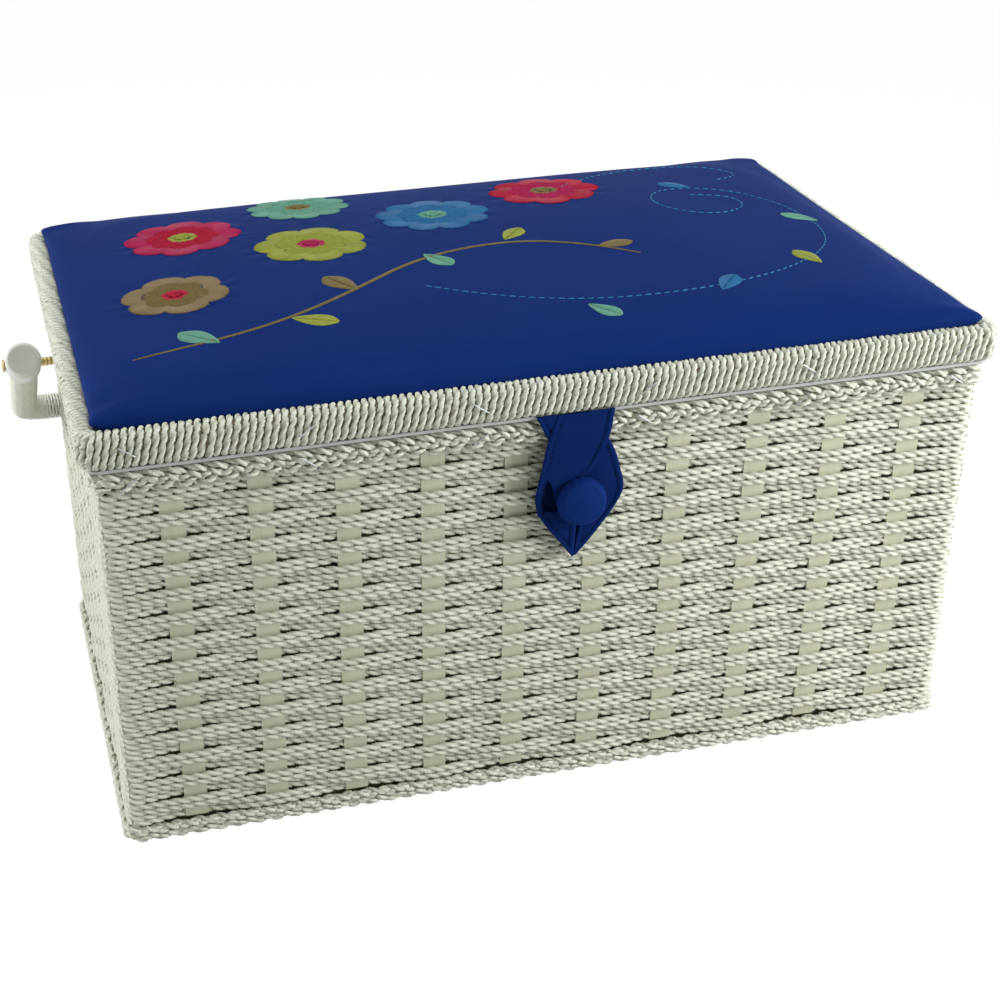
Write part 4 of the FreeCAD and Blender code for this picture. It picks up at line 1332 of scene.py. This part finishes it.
# The closure: a satin ribbon with stitched hems, folded into a loop that hangs
# from under the lid, its legs crossed at the top and mitred to a point below.
strap_low, strap_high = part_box("closure_strap")
strap_depth = 1.6 * mm
hem_width = 2.1 * mm
hem_swell = 0.16 * mm
hem_groove = 0.30 * mm
hem_roll = 0.6 * mm
seam_width = 0.30 * mm
ribbon_depth = 0.75 * mm
fold_depth = 0.3 * mm
ribbon_weld = 0.002 * mm
ribbon_steps = 60
ribbon_columns = 28
ribbon_sag = 0.08 * mm
slot_steps = 40
slot_reach = 5.0 * mm
stitch_pitch = 1.9 * mm
bend_height = 136.9 * mm
sewn_from = 141.0 * mm
sewn_run = 5.0 * mm
sewn_lift = -0.06 * mm


def strap_y(z):
    """The outer face of the strap's solid at a height: upright on the plait, then leaning with the weave."""
    low = strap_high.y - strap_depth
    lean = (low - strap_low.y) / (bend_height - strap_low.z)
    return strap_low.y + lean * max(0.0, bend_height - z)


def along_line(points, share):
    """A place on a smooth line through (x, z) points, in millimetres."""
    spans = len(points) - 1
    i = min(int(share * spans), spans - 1)
    t = share * spans - i
    before = points[max(i - 1, 0)]
    after = points[min(i + 2, spans)]
    place = []
    for a, b, c, d in zip(before, points[i], points[i + 1], after):
        place.append(0.5 * (2 * b + (c - a) * t + (2 * a - 5 * b + 4 * c - d) * t * t
                            + (3 * b - a - 3 * c + d) * t * t * t))
    return place


def ribbon(name, left, right, lift, finish, depth=ribbon_depth, end_hem=False):
    """A doubled ribbon between two lines of (x, z) points, with a stitched hem along its edges."""
    steps = ribbon_steps
    across = ribbon_columns
    run_length = abs(left[-1][1] - left[0][1]) * mm
    shape = bmesh.new()
    hem_layer = shape.verts.layers.float.new("hem")
    run_layer = shape.verts.layers.float.new("along")
    sheets = []
    for side in (1, -1):
        rows = []
        for i in range(steps + 1):
            share = i / steps
            lx, lz = along_line(left, share)
            rx, rz = along_line(right, share)
            width = math.hypot(rx - lx, rz - lz) * mm
            row = []
            for j in range(across + 1):
                v = 0.5 - 0.5 * math.cos(math.pi * j / across)
                x = (lx + (rx - lx) * v) * mm
                z = (lz + (rz - lz) * v) * mm
                edge = min(v * width, (1 - v) * width)
                if end_hem:
                    edge = min(edge, share * run_length)
                rolled = min(1.0, edge / hem_roll)
                full = math.sqrt(max(0.0, 1 - (1 - rolled) ** 2))
                seam = math.exp(-((edge - hem_width) / seam_width) ** 2)
                swell = hem_swell if edge < hem_width else 0.0
                sag = ribbon_sag * math.sin(share * 19 + v * 5)
                thick = (depth * 0.5 + swell * full) * (0.25 + 0.75 * full) - seam * hem_groove
                sewn = max(0.0, min(1.0, (z - sewn_from) / sewn_run))
                raised = lift * mm + (min(lift * mm, sewn_lift) - lift * mm) * sewn
                middle = strap_y(z) + strap_depth * 0.5 - raised + sag * (1 - sewn)
                vert = shape.verts.new((x, middle - side * thick, z))
                vert[hem_layer] = seam
                vert[run_layer] = share * run_length
                row.append(vert)
            rows.append(row)
        sheets.append(rows)
        for a, b in zip(rows[:-1], rows[1:]):
            for j in range(across):
                shape.faces.new((a[j], a[j + 1], b[j + 1], b[j]))
    front, rear = sheets
    for a, b in ((0, 1), (across, across - 1)):
        for i in range(steps):
            shape.faces.new((front[i][a], front[i + 1][a], rear[i + 1][a], rear[i][a]))
    for end in (0, steps):
        for j in range(across):
            shape.faces.new((front[end][j], front[end][j + 1], rear[end][j + 1], rear[end][j]))
    bmesh.ops.remove_doubles(shape, verts=shape.verts, dist=ribbon_weld)
    return smooth_solid(name, shape, finish)


def cut_slot(piece, outline):
    """Cuts a slot with a smooth outline of (x, z) points right through a ribbon."""
    block = bmesh.new()
    spots = [along_line(outline + outline[:1], i / slot_steps) for i in range(slot_steps)]
    near, far = ([block.verts.new((x * mm, y, z * mm)) for x, z in spots]
                 for y in (strap_low.y - slot_reach, strap_high.y + slot_reach))
    block.faces.new(near)
    block.faces.new(far[::-1])
    for i in range(slot_steps):
        j = (i + 1) % slot_steps
        block.faces.new((near[j], near[i], far[i], far[j]))
    bmesh.ops.recalc_face_normals(block, faces=block.faces)
    cut_out(piece, solid("slot", block))


def strap_shades(net):
    """Blue satin painted darker along the groove of each hem as painted shade, with a row of tone-on-tone
    stitches there.
    """
    colour, slubs = satin_colour(net)
    seam = net.stored("hem")
    stitches = (net.stored("along") * (2 * math.pi / stitch_pitch)).sin().above(-0.3) * seam
    deep = (slubs * 0.1 + 0.25).mix(colour, (0.0015, 0.006, 0.032, 1))
    # Painted shade: the satin is painted darker along the seam groove of each hem.
    dark = (seam * 0.85).mix(deep, (0.0012, 0.004, 0.020, 1))
    return {"Base Color": (stitches * 0.25).mix(dark, (0.008, 0.032, 0.16, 1)),
            "Normal": bump(net, cloth_height(net, slubs) * 0.3 + stitches, 0.12 * mm, 0.6)}


def painted_slot_shade(net):
    """The satin's dull reverse, painted very dark as painted shade inside the slot."""
    colour, slubs = satin_colour(net)
    return {"Base Color": (slubs * 0.3 + 0.7).mix(colour, (0.0020, 0.006, 0.024, 1)),
            "Normal": bump(net, cloth_height(net, slubs), 0.05 * mm, 0.3)}


strap_satin = material("hemmed_satin", satin_gloss, strap_shades)
satin_reverse = material("satin_reverse", satin_gloss, painted_slot_shade)
slot_outline = [(-5.4, 125.0), (-3.4, 121.0), (-2.5, 116.0), (-1.4, 112.4), (-5.4, 112.6), (-6.7, 114.6),
                (-6.9, 118.4), (-6.4, 122.0)]
# The inner fold behind the slot wears this very dark satin: painted shade inside the slot.
inner_fold = ribbon("loop_inner_fold",
                    [(-6.2, 127.0), (-7.6, 120.0), (-7.6, 113.5), (-3.6, 107.0), (0.8, 100.0), (4.4, 93.6)],
                    [(6.0, 127.0), (8.0, 120.0), (10.0, 113.5), (9.0, 107.0), (7.4, 100.0), (5.6, 93.6)],
                    -0.62, satin_reverse, fold_depth)
back_leg = ribbon("loop_back_leg",
                  [(-9.4, 148.0), (-3.2, 135.0), (5.0, 122.0), (9.0, 113.5), (6.4, 104.5), (5.0, 93.2)],
                  [(9.2, 148.0), (16.4, 135.5), (19.6, 126.5), (21.2, 116.4), (14.2, 103.6), (6.0, 93.0)],
                  -0.2, strap_satin)
front_leg = ribbon("loop_front_leg",
                   [(-2.2, 148.0), (-6.0, 137.8), (-7.6, 128.0), (-9.3, 119.0), (-9.0, 115.0), (-8.2, 110.6)],
                   [(17.3, 148.0), (15.0, 137.6), (10.2, 128.0), (4.0, 121.0), (3.2, 115.4), (3.0, 110.6)],
                   0.42, strap_satin)
cut_slot(front_leg, slot_outline)
left_point = ribbon("loop_point_left",
                    [(-8.3, 111.6), (-4.6, 105.6), (0.0, 99.2), (4.4, 93.0)],
                    [(5.4, 111.6), (5.4, 105.6), (5.2, 99.2), (5.0, 93.0)],
                    0.50, strap_satin, end_hem=True)
for piece in (inner_fold, back_leg, front_leg, left_point):
    fit(piece, "closure", "satin", "closure_strap")


# The button: satin drawn over a domed metal shell, gathered behind its soft rim,
# on a steel shank that passes through the weave to a plastic backing.
button_low, button_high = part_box("button_cap")
button_radius = (button_high.x - button_low.x) / 2
button_middle = (button_low + button_high) / 2
button_middle.y = button_high.y
button_depth = button_high.y - button_low.y
button_shoulder = 1.9 * mm
button_crown = 0.9 * mm
button_edge = 0.4 * mm
button_gathers = 24
gathers_from = 0.86
gather_size = 0.14 * mm
gather_pull = 0.07 * mm
profile = [(0.3 * mm, 0), (0.1 * mm, button_radius * 0.6), (0.0, button_radius - 1.5 * mm)]
for i in range(9):
    angle = math.pi / 2 * i / 8
    rise = button_edge + (button_depth - button_crown - button_edge) * math.sin(angle) ** 1.4
    profile.append((rise, button_radius - button_shoulder * (1 - math.cos(angle)) ** 1.3))
for share in (0.7, 0.45, 0.2):
    rise = button_depth - button_crown * share ** 2 * 1.4 - 0.05 * mm
    profile.append((rise, (button_radius - button_shoulder) * share ** 0.9))
profile.append((button_depth, 0))
button = turned("covered_button", profile, Vector((0, -1, 0)), button_middle, satin, 96)
for vertex in button.data.vertices:
    off = vertex.co - button_middle
    reach = math.hypot(off.x, off.z) / button_radius
    bearing = math.atan2(off.z, off.x)
    fold = math.sin(bearing * button_gathers + 1.5 * math.sin(bearing * 5))
    gather = max(0.0, reach - gathers_from) / (1 - gathers_from) * gather_size * fold
    vertex.co = button_middle + off * (1.0 + (gather - gather_pull * (reach > gathers_from)) / button_radius)
fit(button, "root", "satin", "button_cap")
paint("button_shank", steel)
paint("button_backing", cap_plastic)


# The pin cushion: short blue velvet with a darker nap, stuffed firm and sewn to the
# covered card under the lid.
cushion_voxel = 4.0 * mm
cushion_pressure = 4.0
cushion_reach = 3.0 * mm
cushion_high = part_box("pin_cushion")[1]
velvet = mottled("short_velvet", {"Roughness": 0.8, "Sheen Weight": 0.6}, (0.012, 0.040, 0.190),
                 (0.030, 0.085, 0.36), clouds=(420.0, 3.0), grain=(2600.0,), share=0.7,
                 relief=(0.2 * mm, 0.6))
cushion = even_copy("stuffed_pin_cushion", "pin_cushion", cushion_voxel)
fill(cushion, lambda place: place.z > cushion_high.z - held_margin, cushion_pressure, cushion_reach)
for vertex in cushion.data.vertices:
    vertex.co.z = min(vertex.co.z, cushion_high.z)
smooth_fabric(cushion, velvet)
fit(cushion, "lid", "satin", "pin_cushion")


# The covered card under the lid and the flat pocket sewn to it: pale lining cloth in
# a plain weave, which an elastic in the hem gathers along the pocket's open edge.
pale_cloth = mottled("pale_lining_cloth", {"Roughness": 0.7, "Sheen Weight": 0.15}, (0.36, 0.375, 0.38),
                     (0.54, 0.56, 0.56), clouds=(40.0,), grain=((300.0, 2400.0, 2400.0),), share=0.5,
                     relief=(0.08 * mm, 0.5))
paint("lid_lining", pale_cloth)
pocket_low, pocket_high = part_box("lid_pocket")
pocket_length = pocket_high.x - pocket_low.x
pocket_height = pocket_high.y - pocket_low.y
gathers = 23
gather_depth = 0.65 * mm
gather_columns = 8
elastic_at = 0.88
elastic_reach = 0.05
frill_from = 0.9
pocket_rows = 30
pocket_stand = 0.45 * mm
pocket_lift = 0.15 * mm
frill_wave = 0.5 * mm
pocket_cloth = 0.3 * mm
shape = bmesh.new()
columns = gathers * gather_columns
grid = []
for j in range(pocket_rows + 1):
    v = j / pocket_rows
    row = []
    for i in range(columns + 1):
        u = i / columns
        edge = min(1.0, min(u, 1 - u) * 14) * min(1.0, v * 9)
        pinch = 0.55 + 0.45 * math.exp(-((v - elastic_at) / elastic_reach) ** 2)
        wave = math.sin(u * gathers * 2 * math.pi + 0.8 * math.sin(v * 5 + u * 9))
        bulge = math.sin(math.pi * min(1.0, v * 1.1)) ** 0.7 if v < frill_from else 0.35
        stand = pocket_stand * (1.0 + bulge) + gather_depth * (wave * 0.5 + 0.5) * pinch
        x = pocket_low.x + pocket_length * u
        y = pocket_low.y + pocket_height * v + frill_wave * wave * (v > frill_from)
        row.append(shape.verts.new((x, y, pocket_high.z - edge * stand - pocket_lift)))
    grid.append(row)
for first, second in zip(grid[:-1], grid[1:]):
    for i in range(columns):
        shape.faces.new((first[i], second[i], second[i + 1], first[i + 1]))
cut_area = sum(face.calc_area() for face in shape.faces)
pocket = smooth_solid("gathered_pocket", shape, pale_cloth)
thicken = pocket.modifiers.new("cloth", "SOLIDIFY")
thicken.thickness = pocket_cloth
thicken.offset = 0.0
fit(pocket, "lid", "lid_lining", "lid_pocket")
cut_area / pocket_height


# The hinges: two small brass box hinges on the back, each with rolled knuckles
# on a steel pin and two round-headed screws in each leaf.
paint("hinge_leaves_body", brass)
paint("hinge_leaves_lid", brass)
paint("hinge_pins", steel)
hinge_spacing = 190.0 * mm
knuckle_length = 9.0 * mm
knuckle_gap = 0.3 * mm
hinge_head_radius = 1.3 * mm
hinge_head_depth = 0.7 * mm
leaf_depth = 1.0 * mm
hinge_leaves = (("hinge_leaves_body", 1, 0.28, "root"), ("hinge_leaves_lid", -1, 0.72, "lid"))
for node, side, share, body in hinge_leaves:
    low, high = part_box(node)
    face_y = (rim_half if body == "root" else band_high).y + leaf_depth
    heads = []
    for hinge in (-1, 1):
        for place in (0.25, 0.75):
            x = hinge * hinge_spacing / 2 + side * (knuckle_gap / 2 + knuckle_length * place)
            centre = Vector((x, face_y, low.z + (high.z - low.z) * share))
            profile = [(hinge_head_depth * math.sin(angle), hinge_head_radius * math.cos(angle))
                       for angle in (0.0, 0.4, 0.8, 1.2)]
            profile.append((hinge_head_depth, 0))
            heads.append(turned("head", profile, Vector((0, 1, 0)), centre, brass, 20))
    fit(merged("hinge_screws_" + body, heads), body, "brass")


# The staples: bright wire, driven slantwise through the plait and the winding to
# hold their ends, six along each front edge.
staple_half = 3.0 * mm
staple_leg = 1.6 * mm
staple_wire = 0.24 * mm
staple_pitch = 56.0 * mm
staple_count = 6
staple_lean = math.radians(35.0)


def staple_row(net, given):
    """A row of bent wires, each turned a little in the wall's plane."""
    wire = bent_path(net, given["Half"] * -1.0, (given["Leg"], 0.0), (0.0, 0.0), given["Wire"] * 1.6, 4)
    section = net.add("GeometryNodeCurvePrimitiveCircle", {"Resolution": 8, "Radius": given["Wire"]},
                      mode="RADIUS")
    staple = smoothed(net, swept(net, wire, section))
    x = (net.index() - (given["Count"] - 1.0) * 0.5) * given["Pitch"]
    points = moved_to(net, row_of_points(net, given["Count"]), net.xyz(x, given["Y"], given["Z"]))
    lean = (net.math("MODULO", net.index(), 2.0) * 2.0 - 1.0) * given["Lean"]
    return net.add("GeometryNodeInstanceOnPoints", {
        "Points": points, "Instance": staple, "Rotation": net.xyz(0.0, lean, 0.0)})


for node, name, body, lean in (("braid_staples", "rim_staples", "root", staple_lean),
                               ("band_staples", "lid_staples", "lid", -staple_lean)):
    low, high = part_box(node)
    row = grown(name, {
        "Half": staple_half, "Leg": staple_leg, "Wire": staple_wire, "Count": staple_count,
        "Pitch": staple_pitch, "Y": (low.y + high.y) / 2, "Z": (low.z + high.z) / 2, "Lean": lean,
    }, steel, staple_row)
    fit(row, body, "steel", node)
